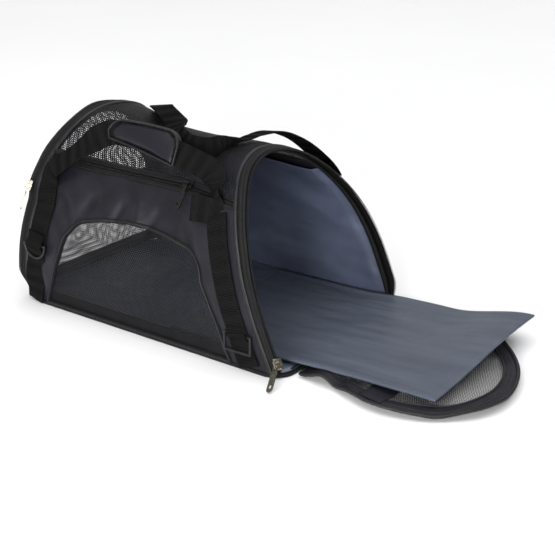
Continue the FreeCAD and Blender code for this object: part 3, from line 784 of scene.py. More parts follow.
def side_grid(side, foot, head):
    """X and u of an even grid over one side's panel, between the two rims."""
    low, high = run_at(np.array([head, foot]))
    u = np.linspace(high, low, int((high - low) / GRID)) * side
    _, z = profile(u)
    rear, front = rear_x(z, RIM - 0.002), front_x(z, RIM - 0.002)
    share = np.linspace(0, 1, int((front - rear).max() / GRID))
    x = rear[:, None] + (front - rear)[:, None] * share
    return x, np.broadcast_to(u[:, None], x.shape)


def cut_window(x, u, outline):
    """Opens the window in a grid: moves the points next to the outline onto it, and
    says which faces stay."""
    flat = np.stack([x, u], -1)
    middle = (flat[:-1, :-1] + flat[1:, :-1] + flat[1:, 1:] + flat[:-1, 1:]) / 4
    hole = inside(middle.reshape(-1, 2), outline)
    numbers, _, _ = quads(*x.shape)
    edge = np.intersect1d(numbers[hole], numbers[~hole])
    flat = flat.reshape(-1, 2)
    for number in edge:
        nearest = np.argmin(((outline - flat[number]) ** 2).sum(1))
        flat[number] = outline[nearest]
    flat = flat.reshape(*x.shape, 2)
    return flat[..., 0], flat[..., 1], ~hole


def flat_area(piece):
    """The area of a piece's cut, from its places in the cloth."""
    layer = np.zeros(len(piece.data.loops) * 2)
    piece.data.uv_layers["cloth"].data.foreach_get("uv", layer)
    layer = layer.reshape(-1, 2)
    total = 0.0
    for polygon in piece.data.polygons:
        ring = layer[polygon.loop_start : polygon.loop_start + polygon.loop_total]
        a, b = ring, np.roll(ring, -1, axis=0)
        total += abs((a[:, 0] * b[:, 1] - b[:, 0] * a[:, 1]).sum()) / 2
    return float(total)


def lining_folds(x, u):
    """Long soft creases of the coated lining, which hangs a little loose."""
    where = np.stack([x * 0.45 + u * 0.35, u - x * 0.4], -1)
    deep = 0.0040 + ripple(where, 0.060, 3) * 0.0062 + ripple(where, 0.026, 8) * 0.0020
    _, z = profile(u)
    return deep * off_arches(x, z, (0.022, 0.05), (0.020, 0.038)) * smooth(z, 0.006, 0.04)


def make_side(side):
    """One side's outer panel, with the lining inside it."""
    name = "near" if side < 0 else "far"
    keep = None
    x, u = side_grid(side, FOOT, SIDE_ZIP_FOOT + 0.001 if side < 0 else FAR_PANEL_HEAD)
    if side < 0:
        x, u, keep = cut_window(x, u, window_cloth(0.003))
    flat = np.stack([x, u], -1)
    uneven = ripple(flat, 0.035, 2 + side) * 0.0009
    layers = (
        ("panel", "polyester", PANEL_CLOTH, uneven, "base_binding"),
        ("lining", "lining", LINING_CLOTH, 0.0022 + lining_folds(x, u), f"{name}_panel"),
    )
    for layer, look, thickness, inset, under in layers:
        cloth = skin(f"{name}_{layer}", wall(x, u, inset), look, keep=keep, flat=flat)
        thicken(cloth, thickness, -side)
        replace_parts(cloth, f"{name}_side_{layer}")
        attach(cloth, "bag")
        flat_area(cloth)


def make_window():
    """The near window's netting, with its tape, piping, stitches and foot band."""

    def place(flat, lift):
        return wall(flat[:, 0], flat[:, 1], 0.0009 - lift)

    net = netting("window_net", window_cloth(0.002), place)
    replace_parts(net, "near_window_net")
    x, u = window_cloth(0.0025).T
    up = wall_out(x, u)
    tape = swept("window_tape", wall(x, u, -0.0004), ribbon(0.0062, 0.0012), "binding", up,
                 closed=True)
    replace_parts(tape, "near_window_piping")
    piping = swept("window_piping", wall(x, u, -0.0012), circle(0.0013), "piping", up, closed=True)
    x, u = window_cloth(0.0085).T
    row = stitches("window_stitches", wall(x, u, -0.0002), wall_out(x, u))
    skirt = strip_between("base_skirt", -FULL_RUN, float(-run_at(0.021)), 0.0032)
    for piece in (net, tape, piping, row, thicken(skirt, TAPE_CLOTH)):
        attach(piece, "bag")


def strip_between(name, low, high, inset, bulge=0.0):
    """A binding strip that runs the whole bag between two u lines, swollen by bulge."""
    share = np.linspace(0, 1, 7)
    u = low + (high - low) * share
    _, z = profile(u)
    rear, front = rear_x(z, RIM - 0.002), front_x(z, RIM - 0.002)
    x = rear + (front - rear) * np.linspace(0, 1, 150)[:, None]
    u = np.broadcast_to(u, x.shape)
    puff = bulge * np.sin(math.pi * share) ** 0.6
    return skin(name, wall(x, u, inset - puff), "binding", flat=np.stack([x, u], -1))


def make_side_zip():
    """The near top's zip: two swollen tapes with a coil between them."""
    foot, coil_low, coil_high, head = -run_at(np.array(SIDE_ZIP))
    for name, low, high in (("lower", foot, coil_low), ("upper", coil_high, head)):
        tape = strip_between(f"side_zip_{name}_tape_cloth", low, high, 0.0006, 0.0022)
        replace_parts(thicken(tape, TAPE_CLOTH), f"side_zip_{name}_tape")
        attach(tape, "bag")
    middle = (coil_low + coil_high) / 2
    _, z = profile(middle)
    x = np.linspace(float(rear_x(z, RIM)), float(front_x(z, RIM)), 160)
    teeth = coil("side_zip_teeth", wall(x, middle, 0.0006), wall_out(x, middle))
    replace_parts(teeth, "side_zip_coil")
    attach(teeth, "bag")
    ground = strip_between("side_zip_ground", coil_low - 0.001, coil_high + 0.001, 0.0018)
    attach(thicken(ground, 0.0005), "bag")


def make_top():
    """Netting over the top, with a sewn tape along the far panel's head."""
    reach = run_at(TOP_NET_FOOT - 0.002)
    u = np.linspace(-reach, reach, 60)
    _, z = profile(u)
    rear = np.stack([rear_x(z, RIM - 0.003), u], 1)
    front = np.stack([front_x(z, RIM - 0.003), u], 1)

    def drape(flat, lift):
        inset = 0.0008 + ripple(flat, 0.05, 5) * 0.0016 - lift
        return wall(flat[:, 0], flat[:, 1], inset)

    net = netting("top_netting", np.vstack([rear, front[::-1]]), drape, cell=0.0033, thread=0.0013)
    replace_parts(net, "top_net")
    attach(net, "bag")
    low, high = run_at(FAR_PANEL_HEAD - 0.001), run_at(TOP_NET_FOOT + 0.002)
    seam = strip_between("far_seam_tape", low, high, 0.0004, 0.0014)
    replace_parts(thicken(seam, 0.0009), "far_top_seam")
    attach(seam, "bag")


# ---- rims


def rim_band(name, end, section, look, foot=FOOT, wobble=0.0):
    """A closed section of (depth, inset) pairs carried round one arch."""
    full = float(run_at(foot))
    u = np.linspace(-full, full, 220)
    depth, inset = np.asarray(section, float).T
    uneven = ripple(np.stack([u, u * 0], -1), 0.03, 4 if end == "front" else 6) * wobble
    depth = depth + uneven[:, None]
    points = rim(end, depth, np.broadcast_to(u[:, None], depth.shape), inset)
    piece = skin(name, points, look, closed_columns=True)
    close_ends(piece, len(inset), len(u))
    return piece


# Depth and inset round the zip's folded tape.
TAPE_RIDGES = [
    (0.0150, 0.0016), (0.0140, 0.0002), (0.0115, -0.0012), (0.0092, 0.0002),
    (0.0084, 0.0010), (0.0070, -0.0006), (0.0050, -0.0010), (0.0034, 0.0000),
    (0.0028, 0.0012), (0.0040, 0.0020), (0.0080, 0.0024), (0.0130, 0.0026),
]
INNER_BINDING = [(0.0026, 0.0030), (0.0096, 0.0034), (0.0096, 0.0042), (0.0026, 0.0038)]
HOOP_FOOT = 0.0075


def make_rim(end):
    """Piping, folded tape and coil round one arch, with the sprung hoop inside it."""
    round_cord = circle(0.0030, 10, high=0.0021) + np.array([0.0172, 0.0004])
    cord = rim_band(f"{end}_piping", end, round_cord, "piping", wobble=0.0006)
    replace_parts(cord, f"{end}_arch_piping")
    tape = rim_band(f"{end}_tape", end, TAPE_RIDGES, "binding", wobble=0.0005)
    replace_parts(tape, f"{end}_zip_body_tape")
    u = np.linspace(0.006 - FULL_RUN, FULL_RUN - 0.006, 400)
    up = unit(rim(end, 0.0012, u, -0.001) - rim(end, 0.0012, u, 0.003))
    teeth = coil(f"{end}_body_teeth", rim(end, 0.0012, u, 0.0012), up, radius=0.00105, wide=1.15)
    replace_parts(teeth, f"{end}_zip_body_coil")
    round_hoop = circle(0.0042, 10, high=0.0026) + np.array([0.0150, 0.0052])
    sleeve = rim_band(f"{end}_hoop_cloth", end, round_hoop, "binding", foot=HOOP_FOOT)
    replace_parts(sleeve, f"{end}_hoop_sleeve", f"{end}_hoop_wire")
    inner = rim_band(f"{end}_inner_binding", end, INNER_BINDING, "webbing", foot=HOOP_FOOT)
    for piece in (cord, tape, teeth, sleeve, inner):
        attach(piece, "bag")


# ---- base

# How far inside the full length the base's two ends lie.
END_INSET = 0.0035


def base_outline(grow):
    """The base's rounded rectangle, grown by grow."""
    corners = []
    for sx, sy, radius, start in ((1, -1, FRONT_RADIUS, -90), (1, 1, FRONT_RADIUS, 0),
                                  (-1, 1, REAR_RADIUS, 90), (-1, -1, REAR_RADIUS, 180)):
        cx, cy = sx * (HALF_LENGTH - END_INSET - radius), sy * (HALF_WIDTH - radius)
        for angle in np.radians(np.linspace(start, start + 90, 10)):
            corners.append((cx + (radius + grow) * math.cos(angle),
                            cy + (radius + grow) * math.sin(angle)))
    return np.array(corners)


def filled(name, outline, look, height, uneven=0.0):
    """A level sheet inside an outline, in rings towards its middle."""
    outline = evenly(outline, 0.005, closed=True)
    centre = outline.mean(0)
    rings = centre + (outline - centre) * np.linspace(1, 0.02, 24)[:, None, None]
    z = height + ripple(rings, 0.06, 9) * uneven
    flat = np.concatenate([rings, rings[:, :1]], 1)
    piece = skin(name, np.concatenate([rings, z[..., None]], -1), look, closed_columns=True,
                 flat=flat)
    close_ends(piece, rings.shape[1], len(rings), both=False)
    return piece


def make_base():
    """The base's outer cloth, floor lining and edge binding, and a hem at each opening."""
    cloth = filled("base_cloth", base_outline(0.0005), "polyester", height=0.0004)
    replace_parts(thicken(cloth, 0.0016), "base_panel")
    lining = filled("floor_lining", base_outline(-0.0020), "lining", height=0.0056,
                    uneven=0.0005)
    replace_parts(thicken(lining, 0.0005), "base_lining", "base_board")
    loop = evenly(base_outline(0.0), 0.003, closed=True)
    path = np.column_stack([loop, np.full(len(loop), 0.0030)])
    round_edge = circle(0.0016, high=0.0026)
    binding = swept("base_binding", path, round_edge, "binding", (0, 0, 1), closed=True)
    for piece in (cloth, lining, binding):
        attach(piece, "bag")
    flat_area(cloth)
    flat_area(lining)
    for end, x, reach in (("front", 0.2225, 0.120), ("rear", -0.2230, 0.104)):
        y = np.linspace(-reach, reach, 60)
        path = np.stack([x + 0 * y, y, 0.0048 + 0.0004 * np.sin(y * 90)], 1)
        sill = swept(f"{end}_sill_hem", path, circle(0.0020, 10, high=0.0024), "binding", (0, 0, 1))
        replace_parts(sill, f"{end}_sill")
        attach(sill, "bag")


# ---- webbing


def webbing(name, line, body, width=WEBBING_WIDTH, thickness=WEBBING):
    """Webbing along listed points. Each row is a place and the direction of the
    webbing's width there. Its cross ribs are part of the mesh."""
    dense = spline(line, 0.0005)
    path, across = dense[:, :3], dense[:, 3:6]
    ahead = unit(np.gradient(path, axis=0))
    across = unit(across - ahead * (across * ahead).sum(1, keepdims=True))
    rib = 1 + RIB_HEIGHT / (thickness / 2) * np.cos(2 * math.pi * running(path) / WEBBING_RIB)
    up = np.cross(across, ahead) * rib[:, None]
    piece = tube(name, path, across, up, ribbon(width, thickness), "webbing")
    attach(piece, body)
    return piece


def strap_line(end, side):
    """Places and width directions of a strap sewn up one side."""
    depth = STRAP_DEPTHS[end] + WEBBING_WIDTH / 2
    low, high = run_at(np.array([STRAP_FEET[end], STRAP_TOP]))
    u = np.linspace(low, high, 26) * side
    middle, edge = rim(end, depth, u, -0.0012), rim(end, depth + 0.004, u, -0.0012)
    return np.hstack([middle, unit(edge - middle)])


def make_straps():
    """The four straps, each with a row of stitches by both edges."""
    for side, name in ((-1, "near"), (1, "far")):
        for end in ("front", "rear"):
            line = strap_line(end, side)
            strap = webbing(f"{name}_{end}_webbing", line, "bag")
            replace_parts(strap, f"{name}_{end}_strap")
            place, across = line[:, :3], line[:, 3:]
            out = unit(np.cross(across, np.gradient(place, axis=0)))
            out *= np.sign((out[:, 1:2] * side).mean())
            for label, offset in (("out", -STRAP_STITCHES), ("in", STRAP_STITCHES)):
                path = spline(place + across * offset + out * 0.0012, 0.002)
                row = stitches(f"{name}_{end}_stitch_{label}", path, out[len(out) // 2])
                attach(row, "bag")


def make_ring_loops():
    """Short webbing folds that hold each ring's straight bar."""
    for end, lean in (("front", -math.tan(FRONT_LEAN)), ("rear", math.tan(REAR_LEAN))):
        low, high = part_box(f"{end}_ring_loop")
        x, _, z = (low + high) / 2
        y, reach = low.y + 0.0012, (high.z - low.z) / 2
        line = []
        for dy, dz in ((0.0048, -0.016), (0.0035, -0.010), (0.0006, -reach * 0.8), (0, 0),
                       (0.0012, reach * 0.9), (0.0044, 0.010), (0.0054, 0.017)):
            line.append((x + dz * lean, y + dy, z + dz, 1, 0, 0))
        loop = webbing(f"{end}_loop_webbing", line, "bag", width=0.029, thickness=0.0014)
        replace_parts(loop, f"{end}_ring_loop")


# Each row of a handle is a place and the direction of the webbing's width there.
NEAR_HANDLE = [
    (-0.1760, -0.1170, 0.1700, 0.97, -0.05, -0.08),
    (-0.1725, -0.1150, 0.1840, 0.92, -0.22, -0.25),
    (-0.1560, -0.1100, 0.1985, 0.70, -0.50, -0.48),
    (-0.1375, -0.1050, 0.2115, 0.60, -0.60, -0.53),
    (-0.1205, -0.1000, 0.2240, 0.56, -0.40, -0.68),
    (-0.0985, -0.0940, 0.2380, 0.45, 0.00, -0.85),
    (-0.0800, -0.0910, 0.2455, 0.18, -0.20, -0.93),
    (-0.0500, -0.0905, 0.2465, 0.02, -0.34, -0.94),
    (0.0000, -0.0915, 0.2420, 0.00, -0.40, -0.92),
    (0.0300, -0.0935, 0.2365, 0.00, -0.50, -0.86),
    (0.0550, -0.0960, 0.2320, -0.02, -0.60, -0.78),
    (0.0780, -0.0975, 0.2275, -0.08, -0.66, -0.72),
    (0.0930, -0.0995, 0.2225, -0.45, -0.55, -0.55),
    (0.1000, -0.1035, 0.2140, -0.85, -0.10, -0.30),
    (0.1020, -0.1090, 0.2040, -0.75, 0.55, -0.25),
    (0.1045, -0.1140, 0.1950, -0.85, 0.35, -0.15),
    (0.1110, -0.1180, 0.1840, -0.97, 0.05, 0.00),
    (0.1160, -0.1205, 0.1730, -0.97, 0.00, 0.05),
]

# The sewn-down end of the near handle's webbing, a loose flap over its front foot.
HANDLE_TAIL = [
    (0.1180, -0.1190, 0.1800, 0.25, 0.25, 0.93),
    (0.1050, -0.1205, 0.1825, 0.20, 0.30, 0.93),
    (0.0920, -0.1215, 0.1830, 0.28, 0.30, 0.91),
    (0.0760, -0.1225, 0.1815, 0.38, 0.32, 0.87),
]

FAR_HANDLE = [
    (-0.1750, 0.1170, 0.1720, 0.95, 0.0, -0.10),
    (-0.1710, 0.1130, 0.1880, 0.90, 0.0, -0.20),
    (-0.1480, 0.0930, 0.2200, 0.75, 0.25, -0.45),
    (-0.1180, 0.0540, 0.2460, 0.60, 0.70, -0.20),
    (-0.0900, 0.0200, 0.2580, 0.35, 0.93, 0.00),
    (-0.0540, 0.0040, 0.2470, 0.20, 0.95, 0.15),
    (-0.0240, -0.0280, 0.2440, 0.35, 0.78, 0.50),
    (0.0040, -0.0580, 0.2440, 0.15, 0.55, 0.80),
    (0.0330, -0.0720, 0.2400, 0.20, 0.55, 0.78),
    (0.0580, -0.0600, 0.2370, 0.30, 0.70, 0.60),
    (0.0760, -0.0350, 0.2420, 0.60, 0.65, 0.40),
    (0.0850, -0.0050, 0.2480, 0.80, 0.50, 0.20),
    (0.0930, 0.0250, 0.2480, 0.92, 0.25, 0.05),
    (0.1020, 0.0560, 0.2360, 0.95, 0.05, 0.00),
    (0.1150, 0.0900, 0.2090, 0.95, 0.0, 0.05),
    (0.1230, 0.1110, 0.1850, 0.95, 0.0, 0.10),
    (0.1270, 0.1180, 0.1720, 0.95, 0.0, 0.10),
]


def make_handles():
    """Both handles, and the loose tail at the near one's front foot."""
    for side, line in (("near", NEAR_HANDLE), ("far", FAR_HANDLE)):
        handle = webbing(f"{side}_handle_webbing", line, f"{side}_handle")
        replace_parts(handle, f"{side}_handle")
    webbing("near_handle_tail", HANDLE_TAIL, "bag")


WRAP_START, WRAP_STOP = -0.082, 0.032
WRAP_LEAN = math.radians(20.5)
WRAP_HALF = 0.0064
WRAP_CAP = 0.0035
WRAP_PRESSURE = 4.0
WRAP_FRAMES = 20
# How far out each ring of the wrap's face is, and how far in towards its middle.
WRAP_RINGS = [(0.0, 0.0), (0.45, 0.10), (0.8, 0.30), (1.0, 0.62)]


def swell(piece):
    """Fills a closed padded piece by cloth simulation, and keeps each point within a
    small cap of where it started."""
    remesh = piece.modifiers.new("remesh", "REMESH")
    remesh.mode, remesh.voxel_size = "VOXEL", 0.0035
    graph = bpy.context.evaluated_depsgraph_get()
    piece.data = bpy.data.meshes.new_from_object(piece.evaluated_get(graph))
    piece.modifiers.clear()
    start = np.array([v.co for v in piece.data.vertices])
    cloth = piece.modifiers.new("cloth", "CLOTH")
    cloth.settings.use_pressure = True
    cloth.settings.uniform_pressure_force = WRAP_PRESSURE
    cloth.settings.effector_weights.gravity = 0.0
    cloth.point_cache.frame_start, cloth.point_cache.frame_end = 1, WRAP_FRAMES
    scene = bpy.context.scene
    for number in range(1, WRAP_FRAMES + 1):
        scene.frame_set(number)
    evaluated = piece.evaluated_get(bpy.context.evaluated_depsgraph_get())
    shift = np.array([v.co for v in evaluated.data.vertices]) - start
    piece.modifiers.remove(cloth)
    scene.frame_set(1)
    length = np.linalg.norm(shift, axis=1, keepdims=True)
    shift *= np.minimum(1.0, WRAP_CAP / np.maximum(length, 1e-9))
    piece.data.vertices.foreach_set("co", (start + shift).ravel())
    piece.data.update()
    piece.data.polygons.foreach_set("use_smooth", [True] * len(piece.data.polygons))
    rounder = piece.modifiers.new("rounder", "SUBSURF")
    rounder.levels = rounder.render_levels = 1


def wrap_outline():
    """The grip flap's outline: distance along the handle, and height from its middle.
    Its two upper corners are round."""
    corners = [(WRAP_START + 0.004, -0.008), (WRAP_START, 0.002)]
    corners += arc(corners[-1], (WRAP_START + 0.009, 0.0125), (WRAP_START + 0.024, 0.0165), 10)
    corners.append((WRAP_STOP - 0.022, 0.0185))
    corners += arc(corners[-1], (WRAP_STOP - 0.006, 0.0135), (WRAP_STOP, 0.0010), 10)
    corners += [(WRAP_STOP, -0.0190), (WRAP_STOP - 0.001, -0.0215)]
    line = evenly(np.array(corners), 0.003, closed=True)
    loop = np.vstack([line, line[:1]])
    share = np.linspace(0, len(line), 96, endpoint=False)
    return resample(loop, np.arange(len(loop)), share)


def wrap_space(flat, depth):
    """Carries the flap's outline onto the handle: depth is out to the near side."""
    x, up = flat[..., 0], flat[..., 1]
    share = (x - WRAP_START) / (WRAP_STOP - WRAP_START)
    lean = WRAP_LEAN + 0.10 * share
    y = -0.0890 - 0.0030 * share
    z = 0.2460 - 0.0050 * share + 0.002 * np.sin(math.pi * share)
    return np.stack([x, y + up * np.sin(lean) - depth * np.cos(lean),
                     z + up * np.cos(lean) + depth * np.sin(lean)], -1)


def make_wrap():
    """The padded grip: a bound flap folded over the handle and sewn round its edge."""
    outline = wrap_outline()
    middle = np.array([(WRAP_START + WRAP_STOP) / 2, -0.001])

    def ring(size, depth):
        return wrap_space(middle + (outline - middle) * size, depth)

    face = [ring(1 - inward, WRAP_HALF * out) for out, inward in reversed(WRAP_RINGS)]
    back = [ring(1 - inward, -WRAP_HALF * out) for out, inward in WRAP_RINGS[1:]]
    grid = np.array(face + back)
    pad = skin("handle_pad", grid, "wrap", closed_columns=True)
    close_ends(pad, len(outline), len(grid))
    swell(pad)
    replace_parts(pad, "handle_wrap")
    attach(pad, "near_handle")
    up = (0, -math.cos(WRAP_LEAN), math.sin(WRAP_LEAN))
    for name, depth in (("face", 0.0030), ("back", -0.0030)):
        loop = swept(f"pad_{name}_binding", ring(1.035, depth), circle(0.0016, high=0.0026),
                     "piping", up, closed=True)
        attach(loop, "near_handle")
    row = evenly(ring(0.80, 0.0074), 0.002, closed=True)
    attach(stitches("pad_stitches", row, up), "near_handle")


# ---- mat

MAT_WIDTH, MAT_LENGTH = 0.245, 0.395


def mat_place(a, b):
    """A point of the mat: a runs 0 to 1 from its inner end outwards, b 0 to 1 from the
    near edge to the far one. It has slid out over the sill, and its far corner curls."""
    x = 0.025 + a * (MAT_LENGTH - 0.007 + 0.016 * (b - 0.5))
    y = (b - 0.5) * MAT_WIDTH + 0.0095 + 0.0075 * smooth(x, 0.18, 0.30)
    over_sill = 0.0080 + 0.0050 * smooth(x, 0.150, 0.245) + 0.001 * smooth(x, 0.26, 0.36)
    outer_lift = smooth(x, 0.31, 0.42) * mix(0.001, 0.018, smooth(b, 0.0, 0.9))
    where = np.stack([x * 0.30, y], -1)
    streak = ripple(where, 0.020, 11) * 0.0016 + ripple(where, 0.009, 12) * 0.0006
    uneven = ripple(np.stack([x, y], -1), 0.09, 13) * 0.0010
    z = over_sill + outer_lift + streak * hill(x, 0.20, 0.10) + uneven
    return np.stack([x, y, z], -1)


def make_mat():
    """The mat's covered board, hemmed by two rows of stitches round its edge."""
    a, b = np.meshgrid(np.linspace(0, 1, 150), np.linspace(0, 1, 96), indexing="ij")
    points = mat_place(a, b)
    flat = np.stack([a * MAT_LENGTH, b * MAT_WIDTH], -1)
    edge = np.minimum(flat, np.array([MAT_LENGTH, MAT_WIDTH]) - flat).min(-1)
    points[..., 2] += 0.0006 * (1 - smooth(edge, 0.0085, 0.0105))
    mat = skin("mat_cover_cloth", points, "mat", flat=flat)
    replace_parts(thicken(mat, 0.0026), "mat_cover", "mat_board")
    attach(mat, "mat")
    for number, inset in enumerate((0.0035, 0.0075)):
        ka, kb = inset / MAT_LENGTH, inset / MAT_WIDTH
        corners = [(ka, kb), (1 - ka, kb), (1 - ka, 1 - kb), (ka, 1 - kb), (ka, kb)]
        path = mat_place(*evenly(corners, 0.004).T) + np.array([0, 0, 0.0007])
        row = stitches(f"mat_stitches_{number}", path, (0, 0, 1), "grey_stitch")
        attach(row, "mat")


# ---- doors

HINGE_X = 0.228
HINGE_REACH = 0.112
DOOR_INSET = 0.003
DOOR_FOOT = 0.008
DOOR_BORDERS = {"front": 0.021, "rear": 0.013}
NET_DEPTHS = {"front": 0.0002, "rear": 0.0004}
BAND_FOOT = 0.099
BAND_WIDTH = 0.030
# The front door's cloth lies no higher than this where the mat is over it.
UNDER_MAT = 0.0066
# The lowest that the front door's cloth lies.
DOOR_GROUND = 0.0034
REAR_BELLY = 0.011


def door_loop(inward):
    """A door's closed outline as height up the slant and y, moved inward from its edge,
    with as many points whatever inward is."""
    foot = DOOR_FOOT + inward
    full = float(run_at(foot))
    y, z = profile(np.linspace(-full, full, 150), DOOR_INSET + inward)
    low = np.linspace(y[-1], y[0], 52)[1:-1]
    y = np.concatenate([y, low])
    z = np.concatenate([z, np.full(len(low), foot)])
    return np.stack([z / math.cos(FRONT_LEAN), y], 1)


def front_door_space(flat, lift=0.0):
    """Carries the front door's cloth onto the ground, bunched up beside its hinge."""
    h, y = flat[..., 0], flat[..., 1]
    height = h * math.cos(FRONT_LEAN)
    x = HINGE_X + h - 0.010 * smooth(h, 0.01, 0.10) - 0.0165 * smooth(h, 0.17, 0.265)
    side = smooth(np.abs(y), 0.09, 0.14)
    wave = hill(h, 0.055, 0.038) * (0.5 + 0.5 * np.sin(h / 0.0105 + y * 14))
    z = 0.0036 + lift + (0.0060 + 0.0030 * side) * wave + 0.0060 * smooth(h, 0.19, 0.26)
    z = z + 0.0022 * smooth(h, 0.02, 0.06) * (0.5 + ripple(flat, 0.05, 21))
    z = z + 0.004 * side * smooth(h, 0.03, 0.1) * (0.6 + 0.8 * ripple(flat, 0.035, 22))
    pinch = 1 - 0.15 * (1 - smooth(h, 0.055, 0.145))
    near_swell = 0.004 * hill(h, 0.185, 0.065) * smooth(-y, 0.02, 0.12)
    y = y * pinch + lopsided(front_x(height), height) - near_swell
    ceiling = UNDER_MAT + 0.012 * (smooth(-y, 0.105, 0.122) + smooth(x, 0.42, 0.44))
    return np.stack([x, y, np.clip(z, DOOR_GROUND, ceiling + lift)], -1)


def rear_door_space(flat, lift=0.0):
    """Carries the rear door's cloth into its closed plane, where it bellies out a
    little. lift is outwards."""
    z = flat[..., 0] * math.cos(FRONT_LEAN)
    half, _ = profile(run_at(np.clip(z, FOOT, TOP - 0.001)), DOOR_INSET)
    across = np.clip(flat[..., 1] / np.maximum(half, 1e-6), -1, 1)
    belly = REAR_BELLY * np.sqrt(1 - across**2) * smooth(z, 0.008, 0.07)
    x = rear_x(z, DOOR_INSET - lift - belly + 0.0012 * ripple(flat, 0.06, 25))
    return settle(np.stack([x, flat[..., 1], z], -1))


def make_border(name, border, space):
    """The solid cloth round a door's netting, swollen along its middle."""
    shares = np.linspace(0, 1, 9)[:, None, None]
    flat = mix(door_loop(0.0), door_loop(border), shares)
    puff = 0.0012 * np.sin(math.pi * shares[..., 0])
    cloth = skin(f"{name}_cloth", space(flat, puff), "polyester", closed_columns=True,
                 flat=np.concatenate([flat, flat[:, :1]], 1))
    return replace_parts(thicken(cloth, 0.0014, 0.0), f"{name}_border")


def make_teeth(name, up, space):
    """The door's half of the zip, round its edge."""
    rows = float(run_at(0.014))
    y, z = profile(np.linspace(-rows, rows, 300), DOOR_INSET - 0.0010)
    edge = np.stack([z / math.cos(FRONT_LEAN), y], 1)
    teeth = coil(f"{name}_teeth", space(edge, 0.0022), up, radius=0.0010, wide=1.15)
    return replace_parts(teeth, f"{name}_zip_tape")


def make_cross_band(name, space):
    """The webbing-like band sewn across the door's netting."""
    share = np.linspace(0, 1, 9)
    height = BAND_FOOT + BAND_WIDTH * share
    y, _ = profile(-run_at(height), DOOR_INSET + 0.004)
    y = y[:, None] * np.linspace(1, -1, 90)
    h = np.broadcast_to(height[:, None] / math.cos(FRONT_LEAN), y.shape)
    flat = np.stack([h, y], -1)
    puff = 0.0018 + 0.0008 * np.sin(math.pi * share)[:, None]
    band = skin(f"{name}_band", space(flat, puff), "polyester", flat=flat)
    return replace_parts(thicken(band, 0.0010, 0.0), f"{name}_cross_band")


def make_hinge(name, end):
    """The cloth fold that joins a door to the bag's front or rear foot."""
    y = np.linspace(-HINGE_REACH, HINGE_REACH, 80)
    rows = np.linspace(0, 1, 8)[:, None]
    if end == "front":
        x = HINGE_X - 0.002 + 0.012 * rows
        z = 0.0026 + 0.0022 * np.sin(rows * math.pi)
    else:
        z = 0.0015 + 0.010 * rows
        x = rear_x(z, DOOR_INSET)
    points = np.stack(np.broadcast_arrays(x, y, z + 0.0004 * np.sin(y * 160)), -1)
    hinge = skin(f"{name}_hinge_cloth", points, "binding")
    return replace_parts(thicken(hinge, TAPE_CLOTH, 0.0), f"{name}_hinge_tape")


def make_door(end):
    """One door: its border, netting, edge bindings, zip half, cross band and hinge."""
    name = f"{end}_door"
    space, up = (front_door_space, (0, 0, 1)) if end == "front" else (rear_door_space, (-1, 0, 0))
    border = DOOR_BORDERS[end]
    pieces = [make_border(name, border, space)]
    net = netting(f"{name}_netting", door_loop(border - 0.002), space, thread=0.0008,
                  deep=NET_DEPTHS[end])
    pieces.append(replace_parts(net, f"{name}_net"))
    for label, inward, radius in (("edge_binding", -0.0003, 0.0024), ("ridge", 0.0070, 0.0012),
                                  ("inner_binding", border, 0.0015)):
        path = space(door_loop(inward), 0.0010)
        pieces.append(swept(f"{name}_{label}", path, circle(radius), "piping", up, closed=True))
    pieces.append(make_teeth(name, up, space))
    pieces.append(make_cross_band(name, space))
    pieces.append(make_hinge(name, end))
    row = space(door_loop(0.5 * border), 0.0020)
    pieces.append(stitches(f"{name}_stitches", row, up))
    for piece in pieces:
        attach(piece, name)
        if end == "rear":
            flatten_open_door(piece)


def flatten_open_door(piece):
    """Gives a piece of the rear door a mesh of its own."""
    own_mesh(piece)


# ---- hardware


def finish_hardware():
    """The rings, sliders and pulls keep their CAD shapes, and get their finishes."""
    finishes = {"front_ring": "plastic", "rear_ring": "plastic"}
    for place, look in (("front", "nickel"), ("side", "enamel"), ("rear", "nickel")):
        finishes[f"{place}_zip_slider"] = finishes[f"{place}_zip_pull"] = look
    for name, look in finishes.items():
        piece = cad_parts[name]
        if not piece.material_slots:
            piece.data.materials.append(None)
        for slot in piece.material_slots:
            slot.material = LOOKS[look][0]
        bevel = piece.modifiers.new("soft_edges", "BEVEL")
        bevel.width, bevel.segments, bevel.limit_method = 0.0004, 2, "ANGLE"


# ---- stage


def add_lamp(name, place, size, power, aim=(0.05, 0.0, 0.1)):
    """A square lamp at a place, aimed at the bag."""
    data = bpy.data.lights.new(name, "AREA")
    data.energy, data.size = power, size
    lamp = bpy.data.objects.new(name, data)
    lamp.location = place
    lamp.rotation_euler = (Vector(aim) - Vector(place)).to_track_quat("-Z", "Y").to_euler()
    bpy.context.scene.collection.objects.link(lamp)


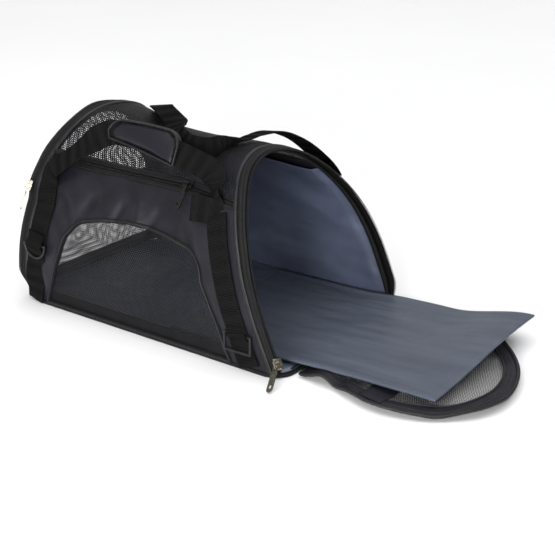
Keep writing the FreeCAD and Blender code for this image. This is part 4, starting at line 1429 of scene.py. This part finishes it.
def make_floor():
    """A wide pale floor."""
    size = 40.0
    mesh = bpy.data.meshes.new("floor")
    corners = [(-size, -size, 0), (size, -size, 0), (size, size, 0), (-size, size, 0)]
    mesh.from_pydata(corners, [], [(0, 1, 2, 3)])
    mesh.materials.append(floor_look())
    floor = bpy.data.objects.new("floor", mesh)
    bpy.context.scene.collection.objects.link(floor)


def make_light():
    """A soft overhead light in a room whose walls are brightest low down, a key light
    from the near side, and a low one that shines into the open end."""
    world = bpy.data.worlds.new("studio")
    bpy.context.scene.world = world
    world.use_nodes = True
    nodes, links = world.node_tree.nodes, world.node_tree.links
    direction = nodes.new("ShaderNodeTexCoord").outputs["Generated"]
    split = nodes.new("ShaderNodeSeparateXYZ")
    links.new(direction, split.inputs["Vector"])
    ramp = nodes.new("ShaderNodeValToRGB")
    low, high = ramp.color_ramp.elements
    low.position, low.color = 0.10, (0.70, 0.70, 0.70, 1)
    high.position, high.color = 0.40, (0.32, 0.32, 0.32, 1)
    links.new(split.outputs["Z"], ramp.inputs["Fac"])
    links.new(ramp.outputs["Color"], nodes["Background"].inputs["Color"])
    nodes["Background"].inputs["Strength"].default_value = 1.0
    add_lamp("overhead", (0.0, 1.5, 9.0), 12.0, 820.0)
    add_lamp("key", (-0.6, -1.6, 2.2), 1.3, 10.0)
    add_lamp("mouth", (0.66, -1.50, 0.36), 0.7, 27.0, aim=(0.15, 0.1, 0.1))
    bpy.context.scene.view_settings.view_transform = "Standard"


def make_camera():
    """A camera in front of the near side, looking down at the bag."""
    data = bpy.data.cameras.new("camera")
    data.sensor_width, data.lens, data.clip_start = 36.0, 65.06, 0.05
    camera = bpy.data.objects.new("camera", data)
    camera.location = (0.824, -1.005, 0.561)
    camera.rotation_euler = (math.radians(67.8), 0.0, math.radians(35.1))
    bpy.context.scene.collection.objects.link(camera)
    bpy.context.scene.camera = camera


# ---- build

make_base()
make_side(-1)
make_side(1)
make_window()
make_side_zip()
make_top()
for bag_end in ("front", "rear"):
    make_rim(bag_end)
    make_door(bag_end)
make_straps()
make_ring_loops()
make_handles()
make_wrap()
make_mat()
finish_hardware()
make_floor()
make_light()
make_camera()
